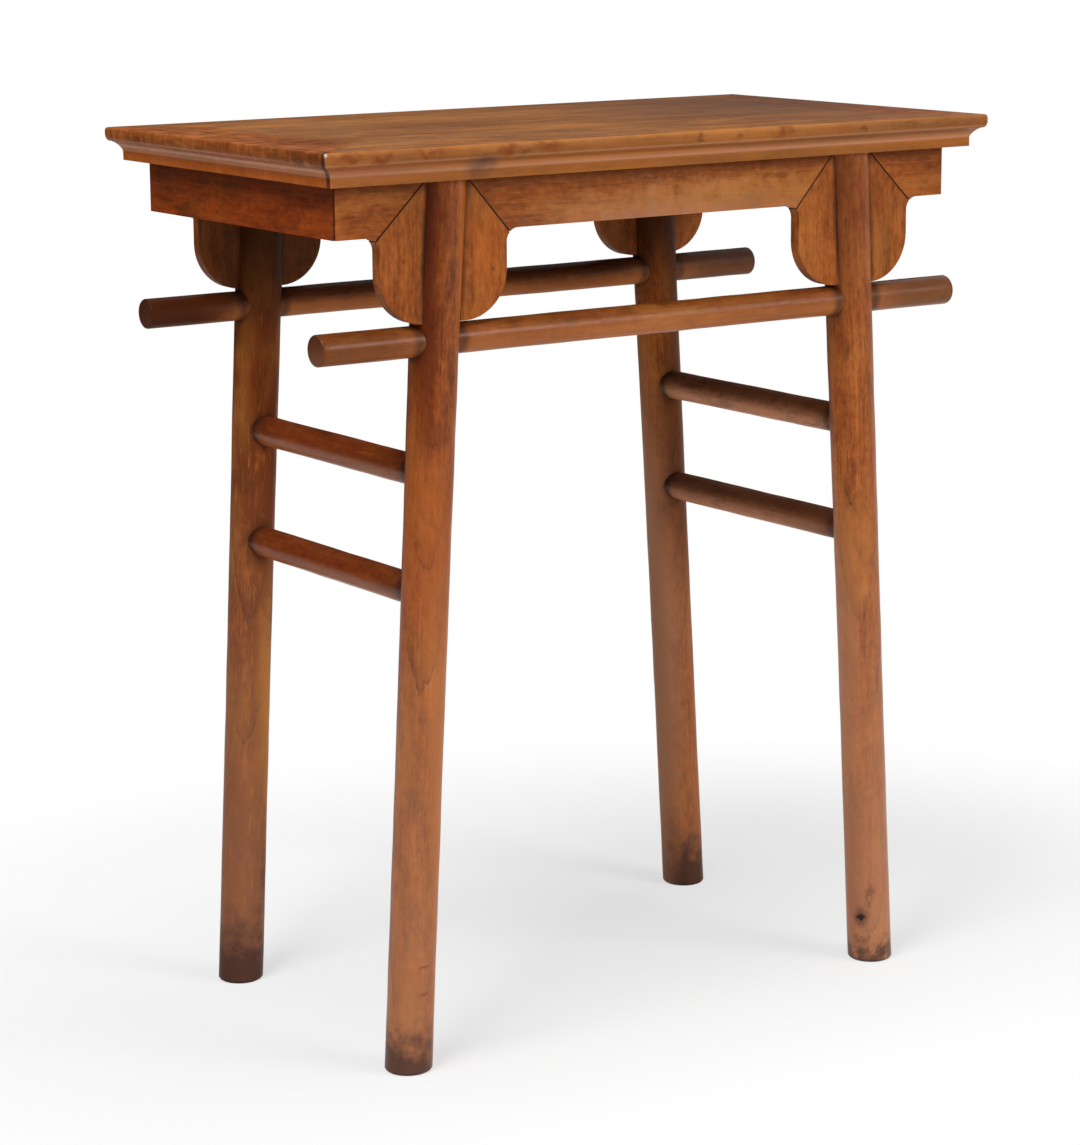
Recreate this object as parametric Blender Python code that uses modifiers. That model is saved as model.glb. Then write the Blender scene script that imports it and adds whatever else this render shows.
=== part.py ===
"""Wine table: a mitred frame-and-panel top on four round, leaning, recessed legs.

Each piece is a solid of its own, and is cut to its neighbours the way a cabinet maker joins them.
Units are metres. +Z is up, the feet stand on z = 0, the length runs along X and the front faces -Y.
Shapes are modelled for the corner at +X +Y and mirrored to the other corners.
"""

import math

import bmesh
import bpy
from mathutils import Matrix, Vector

# Overall sizes
HEIGHT = 0.840
TOP_LENGTH = 0.740
TOP_DEPTH = 0.400
TOP_THICKNESS = 0.0305

# Gap between two pieces that touch
CLEARANCE = 0.0003

# Moulded edge of the top: a rounded nose, a small step, a hollow and a plain fillet below
NOSE_HEIGHT = 0.0128
NOSE_DEPTH = 0.0032
NOSE_STEP = 0.0007
HOLLOW_SAG = 0.0012
FILLET_HEIGHT = 0.0087
FILLET_INSET = 0.0122

# Top frame, its corner tenons and its panel
FRAME_WIDTH = 0.070
CORNER_TENON_NEAR = 0.026
CORNER_TENON_WIDTH = 0.024
CORNER_TENON_STOP = 0.022
CORNER_TENON_THICKNESS = 0.010
CORNER_TENON_SHOULDER = 0.006
PANEL_THICKNESS = 0.013
PANEL_TONGUE_DROP = 0.004
PANEL_TONGUE_THICKNESS = 0.006
PANEL_TONGUE_REACH = 0.0075

# Braces under the panel
BRACE_SPACING = 0.200
BRACE_WIDTH = 0.030
BRACE_HEIGHT = 0.015
BRACE_TENON_WIDTH = 0.022
BRACE_TENON_THICKNESS = 0.008
BRACE_TENON_REACH = 0.015
DOVETAIL_NECK = 0.014
DOVETAIL_CROWN = 0.018
DOVETAIL_DEPTH = 0.005

# Legs: where the head stands under the top, how far the foot leans out, and the turned shape
LEG_RECESS = 0.1425
LEG_LEAN = 0.047
LEG_HEAD_RADIUS = 0.0230
LEG_WAIST_RADIUS = 0.0215
LEG_FOOT_RADIUS = 0.0219
LEG_WAIST_HEIGHT = 0.300
FOOT_CHAMFER = 0.0025
LEG_TENON_WIDTH = 0.020
LEG_TENON_HEIGHT = 0.016
FRONT_TENON_THICKNESS = 0.006
BACK_TENON_THICKNESS = 0.010
LEG_TENON_SHOULDER = 0.0012

# Aprons and spandrels
FRONT_OVERHANG = 0.033
END_OVERHANG = 0.028
APRON_HEIGHT = 0.0435
APRON_SETOUT = 0.011
BOARD_THICKNESS = 0.012
SPANDREL_WIDTH = 0.1250
SPANDREL_RADIUS = 0.044
SPANDREL_FILLET = 0.012
SPANDREL_FOOT_GAP = 0.0020
MITRE_HALF_WIDTH = 0.0215
MITRE_TONGUE_LENGTH = 0.032
MITRE_TONGUE_REACH = 0.006
CORNER_TONGUE_REACH = 0.004
TONGUE_THICKNESS = 0.004
TONGUE_ROOT = 0.003

# Long stretchers, which run through the legs, and their drop from the top's underside
STRETCHER_DROP = 0.1415
STRETCHER_LENGTH = 0.714
STRETCHER_DIAMETER = 0.0282
STRETCHER_END_RADIUS = 0.0020
SADDLE_WEB = 0.012

# Rungs between the legs at each end, each with its drop from the bar above it
UPPER_RUNG_DROP = 0.119
LOWER_RUNG_DROP = 0.1073
RUNG_DIAMETER = 0.0285
RUNG_TENON_WIDTH = 0.010
RUNG_TENON_HEIGHT = 0.018
RUNG_TENON_PAST_AXIS = 0.006

# Fineness of the round shapes
TURNING_STEPS = 44
LEG_RINGS = 9
ARC_STEPS = 8
RIM_ANGLE = 35
WELD_DISTANCE = 1e-6

# How far a cutting tool runs past the faces that it cuts
PAST = 0.005

# Heights and places that follow from the sizes above
UNDERSIDE = HEIGHT - TOP_THICKNESS
PANEL_BOTTOM = HEIGHT - PANEL_THICKNESS
BOARD_TOP = UNDERSIDE - CLEARANCE
APRON_BOTTOM = UNDERSIDE - APRON_HEIGHT
APRON_Y = TOP_DEPTH / 2 - FRONT_OVERHANG
APRON_X = TOP_LENGTH / 2 - END_OVERHANG
LEG_Y = APRON_Y - APRON_SETOUT
LEG_HEAD_X = TOP_LENGTH / 2 - LEG_RECESS
LEAN_RATE = LEG_LEAN / UNDERSIDE
STRETCHER_HEIGHT = UNDERSIDE - STRETCHER_DROP
UPPER_RUNG_HEIGHT = STRETCHER_HEIGHT - UPPER_RUNG_DROP
LOWER_RUNG_HEIGHT = UPPER_RUNG_HEIGHT - LOWER_RUNG_DROP
STRETCHER_CROWN = STRETCHER_HEIGHT + STRETCHER_DIAMETER / 2
SPANDREL_FOOT = STRETCHER_CROWN + SPANDREL_FOOT_GAP
SADDLE_HEIGHT = STRETCHER_CROWN + SADDLE_WEB
MITRE_SHIFT = CLEARANCE / math.sqrt(2)

# Wood colours as they show on the pieces
TOP_COLOUR = (0.235, 0.098, 0.034)
LEG_COLOUR = (0.250, 0.090, 0.026)
BOARD_COLOUR = (0.268, 0.098, 0.027)
BAR_COLOUR = (0.190, 0.062, 0.020)
HIDDEN_COLOUR = (0.150, 0.058, 0.024)
WOOD_ROUGHNESS = 0.42


def clear_scene():
    """Remove everything that the start-up scene holds."""
    for obj in list(bpy.data.objects):
        bpy.data.objects.remove(obj, do_unlink=True)


def new_collection(name, hidden):
    """A collection in the scene, left out of renders when it only holds cutters."""
    collection = bpy.data.collections.new(name)
    collection.hide_render = hidden
    bpy.context.scene.collection.children.link(collection)
    return collection


def wood(name, colour):
    """A plain satin wood in one colour."""
    material = bpy.data.materials.new(name)
    material.use_nodes = True
    shader = material.node_tree.nodes["Principled BSDF"]
    shader.inputs["Base Color"].default_value = (*colour, 1.0)
    shader.inputs["Roughness"].default_value = WOOD_ROUGHNESS
    shader.inputs["Metallic"].default_value = 0.0
    return material


def tidy_mesh(mesh):
    """Weld seams and turn every face outwards."""
    bm = bmesh.new()
    bm.from_mesh(mesh)
    bmesh.ops.remove_doubles(bm, verts=bm.verts, dist=WELD_DISTANCE)
    bmesh.ops.recalc_face_normals(bm, faces=bm.faces)
    bm.to_mesh(mesh)
    bm.free()
    return mesh


def evaluated_mesh(blank):
    """The finished mesh of a temporary curve or modified object, which is then removed."""
    bpy.context.scene.collection.objects.link(blank)
    graph = bpy.context.evaluated_depsgraph_get()
    mesh = bpy.data.meshes.new_from_object(blank.evaluated_get(graph))
    bpy.data.objects.remove(blank)
    return tidy_mesh(mesh)


def box_mesh(low, high):
    """A box between two opposite corners."""
    low, high = Vector(low), Vector(high)
    bm = bmesh.new()
    bmesh.ops.create_cube(bm, size=1.0)
    bmesh.ops.scale(bm, verts=bm.verts, vec=high - low)
    bmesh.ops.translate(bm, verts=bm.verts, vec=(low + high) / 2)
    mesh = bpy.data.meshes.new("box")
    bm.to_mesh(mesh)
    bm.free()
    return mesh


def turned_mesh(profile):
    """A solid turned about Z from (radius, height) points that run from top to bottom."""
    bm = bmesh.new()
    points = [bm.verts.new((radius, 0.0, height)) for radius, height in profile]
    for upper, lower in zip(points, points[1:]):
        bm.edges.new((upper, lower))
    mesh = bpy.data.meshes.new("profile")
    bm.to_mesh(mesh)
    bm.free()
    blank = bpy.data.objects.new("profile", mesh)
    screw = blank.modifiers.new("turn", "SCREW")
    screw.axis = "Z"
    screw.steps = TURNING_STEPS
    screw.render_steps = TURNING_STEPS
    screw.use_merge_vertices = True
    screw.merge_threshold = WELD_DISTANCE
    return evaluated_mesh(blank)


def prism_mesh(outline, thickness):
    """A closed outline of (x, y) points, thickened evenly both ways along Z."""
    curve = bpy.data.curves.new("outline", "CURVE")
    curve.dimensions = "2D"
    curve.fill_mode = "BOTH"
    curve.extrude = thickness / 2
    spline = curve.splines.new("POLY")
    spline.points.add(len(outline) - 1)
    for point, (x, y) in zip(spline.points, outline):
        point.co = (x, y, 0.0, 1.0)
    spline.use_cyclic_u = True
    return evaluated_mesh(bpy.data.objects.new("outline", curve))


def upright_board(outline, low_y, high_y):
    """A board that stands in the X Z plane, between two depths."""
    mesh = prism_mesh(outline, high_y - low_y)
    stand_up = Matrix.Translation((0.0, (low_y + high_y) / 2, 0.0)) @ Matrix.Rotation(math.pi / 2, 4, "X")
    mesh.transform(stand_up)
    return mesh


def mirrored(mesh, side_x, side_y):
    """A copy of a mesh carried from the +X +Y corner to another one."""
    copy = mesh.copy()
    copy.transform(Matrix.Diagonal((side_x, side_y, 1.0, 1.0)))
    return tidy_mesh(copy)


def add_part(name, mesh, origin, colour, side_x=1, side_y=1):
    """Add a piece modelled at the +X +Y corner, with its origin at a point of its own."""
    mesh = mirrored(mesh, side_x, side_y)
    place = Vector((origin[0] * side_x, origin[1] * side_y, origin[2]))
    mesh.transform(Matrix.Translation(-place))
    mesh.name = name
    mesh.materials.clear()
    mesh.materials.append(wood(name + "_wood", colour))
    part = bpy.data.objects.new(name, mesh)
    part.location = place
    part.parent = TABLE
    PARTS.objects.link(part)
    return part


def add_boolean(part, label, mesh, operation, side_x=1, side_y=1):
    """Cut a piece with a tool, or join the tool to it."""
    tool = bpy.data.objects.new(f"{part.name}_{label}", mirrored(mesh, side_x, side_y))
    tool.display_type = "WIRE"
    tool.hide_render = True
    CUTTERS.objects.link(tool)
    modifier = part.modifiers.new(label, "BOOLEAN")
    modifier.operation = operation
    modifier.solver = "EXACT"
    modifier.object = tool


def shade_round(part):
    """Shade a turned piece smooth, with its rims left crisp."""
    part.data.shade_smooth()
    part.data.set_sharp_from_angle(angle=math.radians(RIM_ANGLE))


def arc(centre, radius, start, end):
    """Points on a circle between two angles in degrees, with both ends."""
    angles = [math.radians(start + (end - start) * step / ARC_STEPS) for step in range(ARC_STEPS + 1)]
    return [(centre[0] + radius * math.cos(a), centre[1] + radius * math.sin(a)) for a in angles]


def sagging_arc(start, end, sag):
    """Points on the circle through two points that dips to the left of their chord by a given sag."""
    start, end = Vector(start), Vector(end)
    chord = end - start
    left = Vector((-chord.y, chord.x)).normalized()
    radius = (chord.length_squared / 4 + sag * sag) / (2 * sag)
    centre = (start + end) / 2 + left * (sag - radius)
    half_angle = math.asin(chord.length / 2 / radius)
    points = []
    for step in range(ARC_STEPS + 1):
        angle = half_angle * (1 - 2 * step / ARC_STEPS)
        spoke = left * math.cos(angle) - chord.normalized() * math.sin(angle)
        points.append(tuple(centre + spoke * radius))
    return points


def leg_axis_x(height):
    """How far out the leaning leg's axis is at a height."""
    return LEG_HEAD_X + LEAN_RATE * (UNDERSIDE - height)


def leg_radius(height):
    """The leg's radius at a height: slimmest at the waist, fuller towards the head and the foot."""
    if height > LEG_WAIST_HEIGHT:
        share = (height - LEG_WAIST_HEIGHT) / (UNDERSIDE - LEG_WAIST_HEIGHT)
        return LEG_WAIST_RADIUS + (LEG_HEAD_RADIUS - LEG_WAIST_RADIUS) * share**2
    share = 1 - height / LEG_WAIST_HEIGHT
    return LEG_WAIST_RADIUS + (LEG_FOOT_RADIUS - LEG_WAIST_RADIUS) * share**2


def leaning_mesh(profile):
    """A turned mesh sheared along the leg's lean and set at the leg's place."""
    mesh = turned_mesh(profile)
    shear = Matrix.Identity(4)
    shear[0][2] = -LEAN_RATE
    mesh.transform(Matrix.Translation((leg_axis_x(0.0), LEG_Y, 0.0)) @ shear)
    return mesh


def leg_mesh():
    """The whole leg below the top, with its worn foot edge."""
    heights = [BOARD_TOP + (FOOT_CHAMFER - BOARD_TOP) * ring / LEG_RINGS for ring in range(LEG_RINGS + 1)]
    profile = [(0.0, BOARD_TOP)]
    profile += [(leg_radius(height), height) for height in heights]
    profile += [(leg_radius(0.0) - FOOT_CHAMFER, 0.0), (0.0, 0.0)]
    return leaning_mesh(profile)


def leg_clearance_mesh(low, high):
    """The leg between two heights, grown by the clearance, which copes what meets it."""
    profile = [(0.0, high)]
    profile += [(leg_radius(height) + CLEARANCE, height) for height in (high, low)]
    profile += [(0.0, low)]
    return leaning_mesh(profile)


def bar_mesh(diameter, length, end_radius):
    """A round bar along X with eased ends."""
    radius = diameter / 2
    half = length / 2
    top = arc((radius - end_radius, half - end_radius), end_radius, 90, 0)
    bottom = [(r, -z) for r, z in reversed(top)]
    mesh = turned_mesh([(0.0, half)] + top + bottom + [(0.0, -half)])
    mesh.transform(Matrix.Rotation(math.pi / 2, 4, "Y"))
    return mesh


def frame_section():
    """Section of the top frame as (inset from the outer edge, height), from the top face round."""
    nose_base = HEIGHT - NOSE_HEIGHT
    nose = []
    for across, up in arc((0.0, 0.0), 1.0, 90, -90):
        nose.append((NOSE_DEPTH * (1 - across), nose_base + NOSE_HEIGHT * (1 + up) / 2))
    hollow = sagging_arc(
        (NOSE_DEPTH + NOSE_STEP, nose_base), (FILLET_INSET, UNDERSIDE + FILLET_HEIGHT), HOLLOW_SAG
    )
    groove_top = HEIGHT - PANEL_TONGUE_DROP + CLEARANCE
    groove_bottom = HEIGHT - PANEL_TONGUE_DROP - PANEL_TONGUE_THICKNESS - CLEARANCE
    groove_back = FRAME_WIDTH - PANEL_TONGUE_REACH - CLEARANCE
    inside = [
        (FILLET_INSET, UNDERSIDE),
        (FRAME_WIDTH, UNDERSIDE),
        (FRAME_WIDTH, groove_bottom),
        (groove_back, groove_bottom),
        (groove_back, groove_top),
        (FRAME_WIDTH, groove_top),
        (FRAME_WIDTH, HEIGHT),
    ]
    return nose + hollow + inside


def long_rail_mesh():
    """A long frame member at +Y, with its ends mitred."""
    mesh = prism_mesh(frame_section(), TOP_LENGTH)
    for vertex in mesh.vertices:
        inset, height, along = vertex.co
        reach = TOP_LENGTH / 2 - inset - MITRE_SHIFT
        vertex.co = (math.copysign(reach, along), TOP_DEPTH / 2 - inset, height)
    return tidy_mesh(mesh)


def short_rail_mesh():
    """A short frame member at +X, with its ends mitred."""
    mesh = prism_mesh(frame_section(), TOP_DEPTH)
    for vertex in mesh.vertices:
        inset, height, along = vertex.co
        reach = TOP_DEPTH / 2 - inset - MITRE_SHIFT
        vertex.co = (TOP_LENGTH / 2 - inset, math.copysign(reach, along), height)
    return tidy_mesh(mesh)


def corner_tenon_mesh(grow):
    """The tenon that leaves a long rail's mitre and enters the short rail."""
    far = CORNER_TENON_NEAR + CORNER_TENON_WIDTH
    low_z = UNDERSIDE + CORNER_TENON_SHOULDER
    return box_mesh(
        (TOP_LENGTH / 2 - far - PAST, TOP_DEPTH / 2 - far - grow, low_z - grow),
        (
            TOP_LENGTH / 2 - CORNER_TENON_STOP + grow,
            TOP_DEPTH / 2 - CORNER_TENON_NEAR + grow,
            low_z + CORNER_TENON_THICKNESS + grow,
        ),
    )


def leg_tenon_meshes(grow):
    """The two tenons on a leg's head, outside and inside its slot."""
    slot_outside = APRON_Y + CLEARANCE
    slot_inside = APRON_Y - BOARD_THICKNESS - CLEARANCE
    near = slot_outside + LEG_TENON_SHOULDER
    far = slot_inside - LEG_TENON_SHOULDER
    spans = {
        "outer_tenon": (near, near + FRONT_TENON_THICKNESS),
        "inner_tenon": (far - BACK_TENON_THICKNESS, far),
    }
    half = LEG_TENON_WIDTH / 2
    return {
        label: box_mesh(
            (LEG_HEAD_X - half - grow, low_y - grow, BOARD_TOP - PAST),
            (LEG_HEAD_X + half + grow, high_y + grow, UNDERSIDE + LEG_TENON_HEIGHT + grow),
        )
        for label, (low_y, high_y) in spans.items()
    }


def brace_tenon_mesh(grow):
    """The tongue through a brace whose ends are its tenons."""
    middle = PANEL_BOTTOM - BRACE_HEIGHT / 2
    reach = TOP_DEPTH / 2 - FRAME_WIDTH + BRACE_TENON_REACH + grow
    half_width = BRACE_TENON_WIDTH / 2 + grow
    half_height = BRACE_TENON_THICKNESS / 2 + grow
    return box_mesh(
        (BRACE_SPACING / 2 - half_width, -reach, middle - half_height),
        (BRACE_SPACING / 2 + half_width, reach, middle + half_height),
    )


def dovetail_outline(grow):
    """The dovetail on a brace's back, as (x, z) from its left foot over the crown to its right foot."""
    middle = BRACE_SPACING / 2
    foot = PANEL_BOTTOM - CLEARANCE
    crown = PANEL_BOTTOM + DOVETAIL_DEPTH + grow
    neck = DOVETAIL_NECK / 2 + grow
    wide = DOVETAIL_CROWN / 2 + grow
    return [(middle - neck, foot), (middle - wide, crown), (middle + wide, crown), (middle + neck, foot)]


def brace_mesh():
    """A brace at +X, from rail to rail, with the dovetail along its back."""
    low_x = (BRACE_SPACING - BRACE_WIDTH) / 2
    high_x = (BRACE_SPACING + BRACE_WIDTH) / 2
    low_z = PANEL_BOTTOM - BRACE_HEIGHT
    foot = PANEL_BOTTOM - CLEARANCE
    outline = [(low_x, low_z), (low_x, foot)] + dovetail_outline(0.0) + [(high_x, foot), (high_x, low_z)]
    half = TOP_DEPTH / 2 - FRAME_WIDTH - CLEARANCE
    return upright_board(outline, -half, half)


def dovetail_groove_mesh():
    """The groove across the panel's underside that takes a brace's dovetail."""
    groove = dovetail_outline(CLEARANCE)
    low_z = PANEL_BOTTOM - PAST
    outline = [(groove[0][0], low_z)] + groove + [(groove[-1][0], low_z)]
    return upright_board(outline, -TOP_DEPTH / 2, TOP_DEPTH / 2)


def panel_meshes():
    """The panel's body and the wider, thinner slab whose edges are its tongues."""
    half_x = TOP_LENGTH / 2 - FRAME_WIDTH - CLEARANCE
    half_y = TOP_DEPTH / 2 - FRAME_WIDTH - CLEARANCE
    reach_x = half_x + PANEL_TONGUE_REACH
    reach_y = half_y + PANEL_TONGUE_REACH
    tongue_top = HEIGHT - PANEL_TONGUE_DROP
    body = box_mesh((-half_x, -half_y, PANEL_BOTTOM), (half_x, half_y, HEIGHT))
    tongues = box_mesh(
        (-reach_x, -reach_y, tongue_top - PANEL_TONGUE_THICKNESS), (reach_x, reach_y, tongue_top)
    )
    return body, tongues


def spandrel_edges():
    """X of a spandrel's inner and outer upright edges, either side of the leg's axis."""
    middle = leg_axis_x((UNDERSIDE + SPANDREL_FOOT) / 2)
    return middle - SPANDREL_WIDTH / 2, middle + SPANDREL_WIDTH / 2


def fillet_arcs():
    """The inner and outer fillets between apron and spandrel, each from spandrel to apron."""
    inner, outer = spandrel_edges()
    centre_z = APRON_BOTTOM - SPANDREL_FILLET
    inner_centre = (inner - SPANDREL_FILLET, centre_z)
    outer_centre = (outer + SPANDREL_FILLET, centre_z)
    return {
        "inner": (arc(inner_centre, SPANDREL_FILLET, 0, 45), arc(inner_centre, SPANDREL_FILLET, 45, 90)),
        "outer": (arc(outer_centre, SPANDREL_FILLET, 180, 135), arc(outer_centre, SPANDREL_FILLET, 135, 90)),
    }


def mitre_line(side):
    """Upper and lower end of the mitre between the spandrel and one of its aprons."""
    way = 1 if side == "outer" else -1
    return (LEG_HEAD_X + way * MITRE_HALF_WIDTH, BOARD_TOP), fillet_arcs()[side][0][-1]


def apron_edge(side):
    """The apron's side of a mitre, top to bottom and on round the fillet, clear of the spandrel."""
    (top_x, top_z), (foot_x, foot_z) = mitre_line(side)
    slope = math.hypot(foot_x - top_x, top_z - foot_z) / (top_z - foot_z)
    shift = CLEARANCE * slope * (1 if side == "outer" else -1)
    return [(top_x + shift, top_z)] + [(x + shift, z) for x, z in fillet_arcs()[side][1]]


def spandrel_mesh():
    """The upright board through a leg's slot, with a wing on each side of the leg."""
    inner, outer = spandrel_edges()
    fillets = fillet_arcs()
    turn_z = SPANDREL_FOOT + SPANDREL_RADIUS
    outline = [mitre_line("outer")[0]]
    outline += reversed(fillets["outer"][0])
    outline += arc((outer - SPANDREL_RADIUS, turn_z), SPANDREL_RADIUS, 0, -90)
    outline += arc((inner + SPANDREL_RADIUS, turn_z), SPANDREL_RADIUS, -90, -180)
    outline += fillets["inner"][0]
    outline += [mitre_line("inner")[0]]
    return upright_board(outline, APRON_Y - BOARD_THICKNESS, APRON_Y)


def long_apron_mesh():
    """The apron between the two spandrels of a long side."""
    right = apron_edge("inner")
    left = [(-x, z) for x, z in reversed(right)]
    return upright_board(right + left, APRON_Y - BOARD_THICKNESS, APRON_Y)


def apron_end_mesh():
    """The short apron outside a leg, mitred in plan at the table's corner."""
    outline = apron_edge("outer") + [(APRON_X, APRON_BOTTOM), (APRON_X, BOARD_TOP)]
    mesh = upright_board(outline, APRON_Y - BOARD_THICKNESS, APRON_Y)
    corner = [vertex for vertex in mesh.vertices if vertex.co.x > APRON_X - WELD_DISTANCE]
    for vertex in corner:
        vertex.co.x -= APRON_Y - vertex.co.y + MITRE_SHIFT
    return mesh


def end_apron_mesh():
    """The apron under a short end, at +X, mitred in plan at both corners."""
    mesh = box_mesh((APRON_X - BOARD_THICKNESS, -APRON_Y, APRON_BOTTOM), (APRON_X, APRON_Y, BOARD_TOP))
    for vertex in mesh.vertices:
        reach = APRON_Y - (APRON_X - vertex.co.x) - MITRE_SHIFT
        vertex.co.y = math.copysign(reach, vertex.co.y)
    return mesh


def key_mesh(middle, along, across, length, root, reach, thickness):
    """A flat tongue: long in one direction, reaching from a joint face in another."""
    third = along.cross(across)
    turn = Matrix((along, across, third)).transposed().to_4x4()
    mesh = box_mesh((-length / 2, -root, -thickness / 2), (length / 2, reach, thickness / 2))
    mesh.transform(Matrix.Translation(middle) @ turn)
    return mesh


def mitre_tongue_mesh(side, grow):
    """The tongue on an apron's mitre that enters the spandrel."""
    (top_x, top_z), (foot_x, foot_z) = mitre_line(side)
    middle = Vector(((top_x + foot_x) / 2, APRON_Y - BOARD_THICKNESS / 2, (top_z + foot_z) / 2))
    along = Vector((foot_x - top_x, 0.0, foot_z - top_z)).normalized()
    way = 1 if side == "outer" else -1
    into_spandrel = Vector((along.z, 0.0, -along.x)) * way
    return key_mesh(
        middle,
        along,
        into_spandrel,
        MITRE_TONGUE_LENGTH + 2 * grow,
        TONGUE_ROOT,
        MITRE_TONGUE_REACH + grow,
        TONGUE_THICKNESS + 2 * grow,
    )


def corner_tongue_mesh(grow):
    """The tongue on an apron end's corner mitre that enters the end apron."""
    half = BOARD_THICKNESS / 2
    middle = Vector((APRON_X - half, APRON_Y - half, (APRON_BOTTOM + BOARD_TOP) / 2))
    into_end = Vector((1.0, -1.0, 0.0)).normalized()
    return key_mesh(
        middle,
        Vector((0.0, 0.0, 1.0)),
        into_end,
        MITRE_TONGUE_LENGTH + 2 * grow,
        TONGUE_ROOT,
        CORNER_TONGUE_REACH + grow,
        TONGUE_THICKNESS + 2 * grow,
    )


def slot_mesh():
    """The slot in a leg's head that takes the spandrel."""
    reach = LEG_HEAD_RADIUS + LEG_LEAN
    return box_mesh(
        (LEG_HEAD_X - reach, APRON_Y - BOARD_THICKNESS - CLEARANCE, SADDLE_HEIGHT - CLEARANCE),
        (LEG_HEAD_X + reach, APRON_Y + CLEARANCE, UNDERSIDE + PAST),
    )


def stretcher_hole_mesh():
    """The round hole through both legs of a long side."""
    mesh = bar_mesh(STRETCHER_DIAMETER + 2 * CLEARANCE, STRETCHER_LENGTH, STRETCHER_END_RADIUS)
    mesh.transform(Matrix.Translation((0.0, LEG_Y, STRETCHER_HEIGHT)))
    return mesh


def rung_tenon_mesh(height, grow):
    """The flat bar through a rung whose ends are its tenons."""
    half_width = RUNG_TENON_WIDTH / 2 + grow
    half_height = RUNG_TENON_HEIGHT / 2 + grow
    reach = LEG_Y + RUNG_TENON_PAST_AXIS + grow
    x = leg_axis_x(height)
    return box_mesh(
        (x - half_width, -reach, height - half_height), (x + half_width, reach, height + half_height)
    )


def rung_mesh(height):
    """A round rung at +X, as long as the distance between the leg axes."""
    mesh = bar_mesh(RUNG_DIAMETER, 2 * LEG_Y, STRETCHER_END_RADIUS)
    across = Matrix.Rotation(math.pi / 2, 4, "Z")
    mesh.transform(Matrix.Translation((leg_axis_x(height), 0.0, height)) @ across)
    return mesh


def build_top():
    """The frame's four rails, its panel and the braces under it."""
    for name, side_y in LONG_SIDES:
        place = (0.0, TOP_DEPTH / 2, UNDERSIDE)
        rail = add_part(f"top_rail_{name}", long_rail_mesh(), place, TOP_COLOUR, 1, side_y)
        for end, side_x in ENDS:
            add_boolean(rail, f"tenon_{end}", corner_tenon_mesh(0.0), "UNION", side_x, side_y)
            mortise = brace_tenon_mesh(CLEARANCE)
            add_boolean(rail, f"brace_mortise_{end}", mortise, "DIFFERENCE", side_x, side_y)
            for label, mesh in leg_tenon_meshes(CLEARANCE).items():
                add_boolean(rail, f"{label}_mortise_{end}", mesh, "DIFFERENCE", side_x, side_y)
    for end, side_x in ENDS:
        place = (TOP_LENGTH / 2, 0.0, UNDERSIDE)
        rail = add_part(f"top_rail_{end}", short_rail_mesh(), place, TOP_COLOUR, side_x)
        for name, side_y in LONG_SIDES:
            mortise = corner_tenon_mesh(CLEARANCE)
            add_boolean(rail, f"mortise_{name}", mortise, "DIFFERENCE", side_x, side_y)
    body, tongues = panel_meshes()
    panel = add_part("top_panel", body, (0.0, 0.0, PANEL_BOTTOM), TOP_COLOUR)
    add_boolean(panel, "tongues", tongues, "UNION")
    for end, side_x in ENDS:
        add_boolean(panel, f"dovetail_{end}", dovetail_groove_mesh(), "DIFFERENCE", side_x)
        place = (BRACE_SPACING / 2, 0.0, PANEL_BOTTOM - BRACE_HEIGHT)
        brace = add_part(f"panel_brace_{end}", brace_mesh(), place, HIDDEN_COLOUR, side_x)
        add_boolean(brace, "tenons", brace_tenon_mesh(0.0), "UNION", side_x)


def build_leg(name, side_x, side_y):
    """One leg, slotted and tenoned at its head and mortised for its bars."""
    leg = add_part(f"leg_{name}", leg_mesh(), (leg_axis_x(0.0), LEG_Y, 0.0), LEG_COLOUR, side_x, side_y)
    add_boolean(leg, "spandrel_slot", slot_mesh(), "DIFFERENCE", side_x, side_y)
    for label, mesh in leg_tenon_meshes(0.0).items():
        add_boolean(leg, label, mesh, "UNION", side_x, side_y)
    add_boolean(leg, "stretcher_hole", stretcher_hole_mesh(), "DIFFERENCE", side_x, side_y)
    for label, height in RUNGS:
        mortise = rung_tenon_mesh(height, CLEARANCE)
        add_boolean(leg, f"{label}_rung_mortise", mortise, "DIFFERENCE", side_x, side_y)
    shade_round(leg)


def build_spandrel(name, side_x, side_y):
    """One spandrel, coped to its leg below the slot and grooved in both mitres."""
    place = (leg_axis_x(SPANDREL_FOOT), APRON_Y, SPANDREL_FOOT)
    spandrel = add_part(f"spandrel_{name}", spandrel_mesh(), place, BOARD_COLOUR, side_x, side_y)
    cope = leg_clearance_mesh(STRETCHER_HEIGHT, SADDLE_HEIGHT)
    add_boolean(spandrel, "leg_cope", cope, "DIFFERENCE", side_x, side_y)
    for side in ("inner", "outer"):
        groove = mitre_tongue_mesh(side, CLEARANCE)
        add_boolean(spandrel, f"{side}_groove", groove, "DIFFERENCE", side_x, side_y)


def build_apron_end(name, side_x, side_y):
    """One short apron outside a leg, with its two tongues."""
    place = (APRON_X, APRON_Y, APRON_BOTTOM)
    apron = add_part(f"apron_end_{name}", apron_end_mesh(), place, BOARD_COLOUR, side_x, side_y)
    add_boolean(apron, "mitre_tongue", mitre_tongue_mesh("outer", 0.0), "UNION", side_x, side_y)
    add_boolean(apron, "corner_tongue", corner_tongue_mesh(0.0), "UNION", side_x, side_y)


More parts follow.
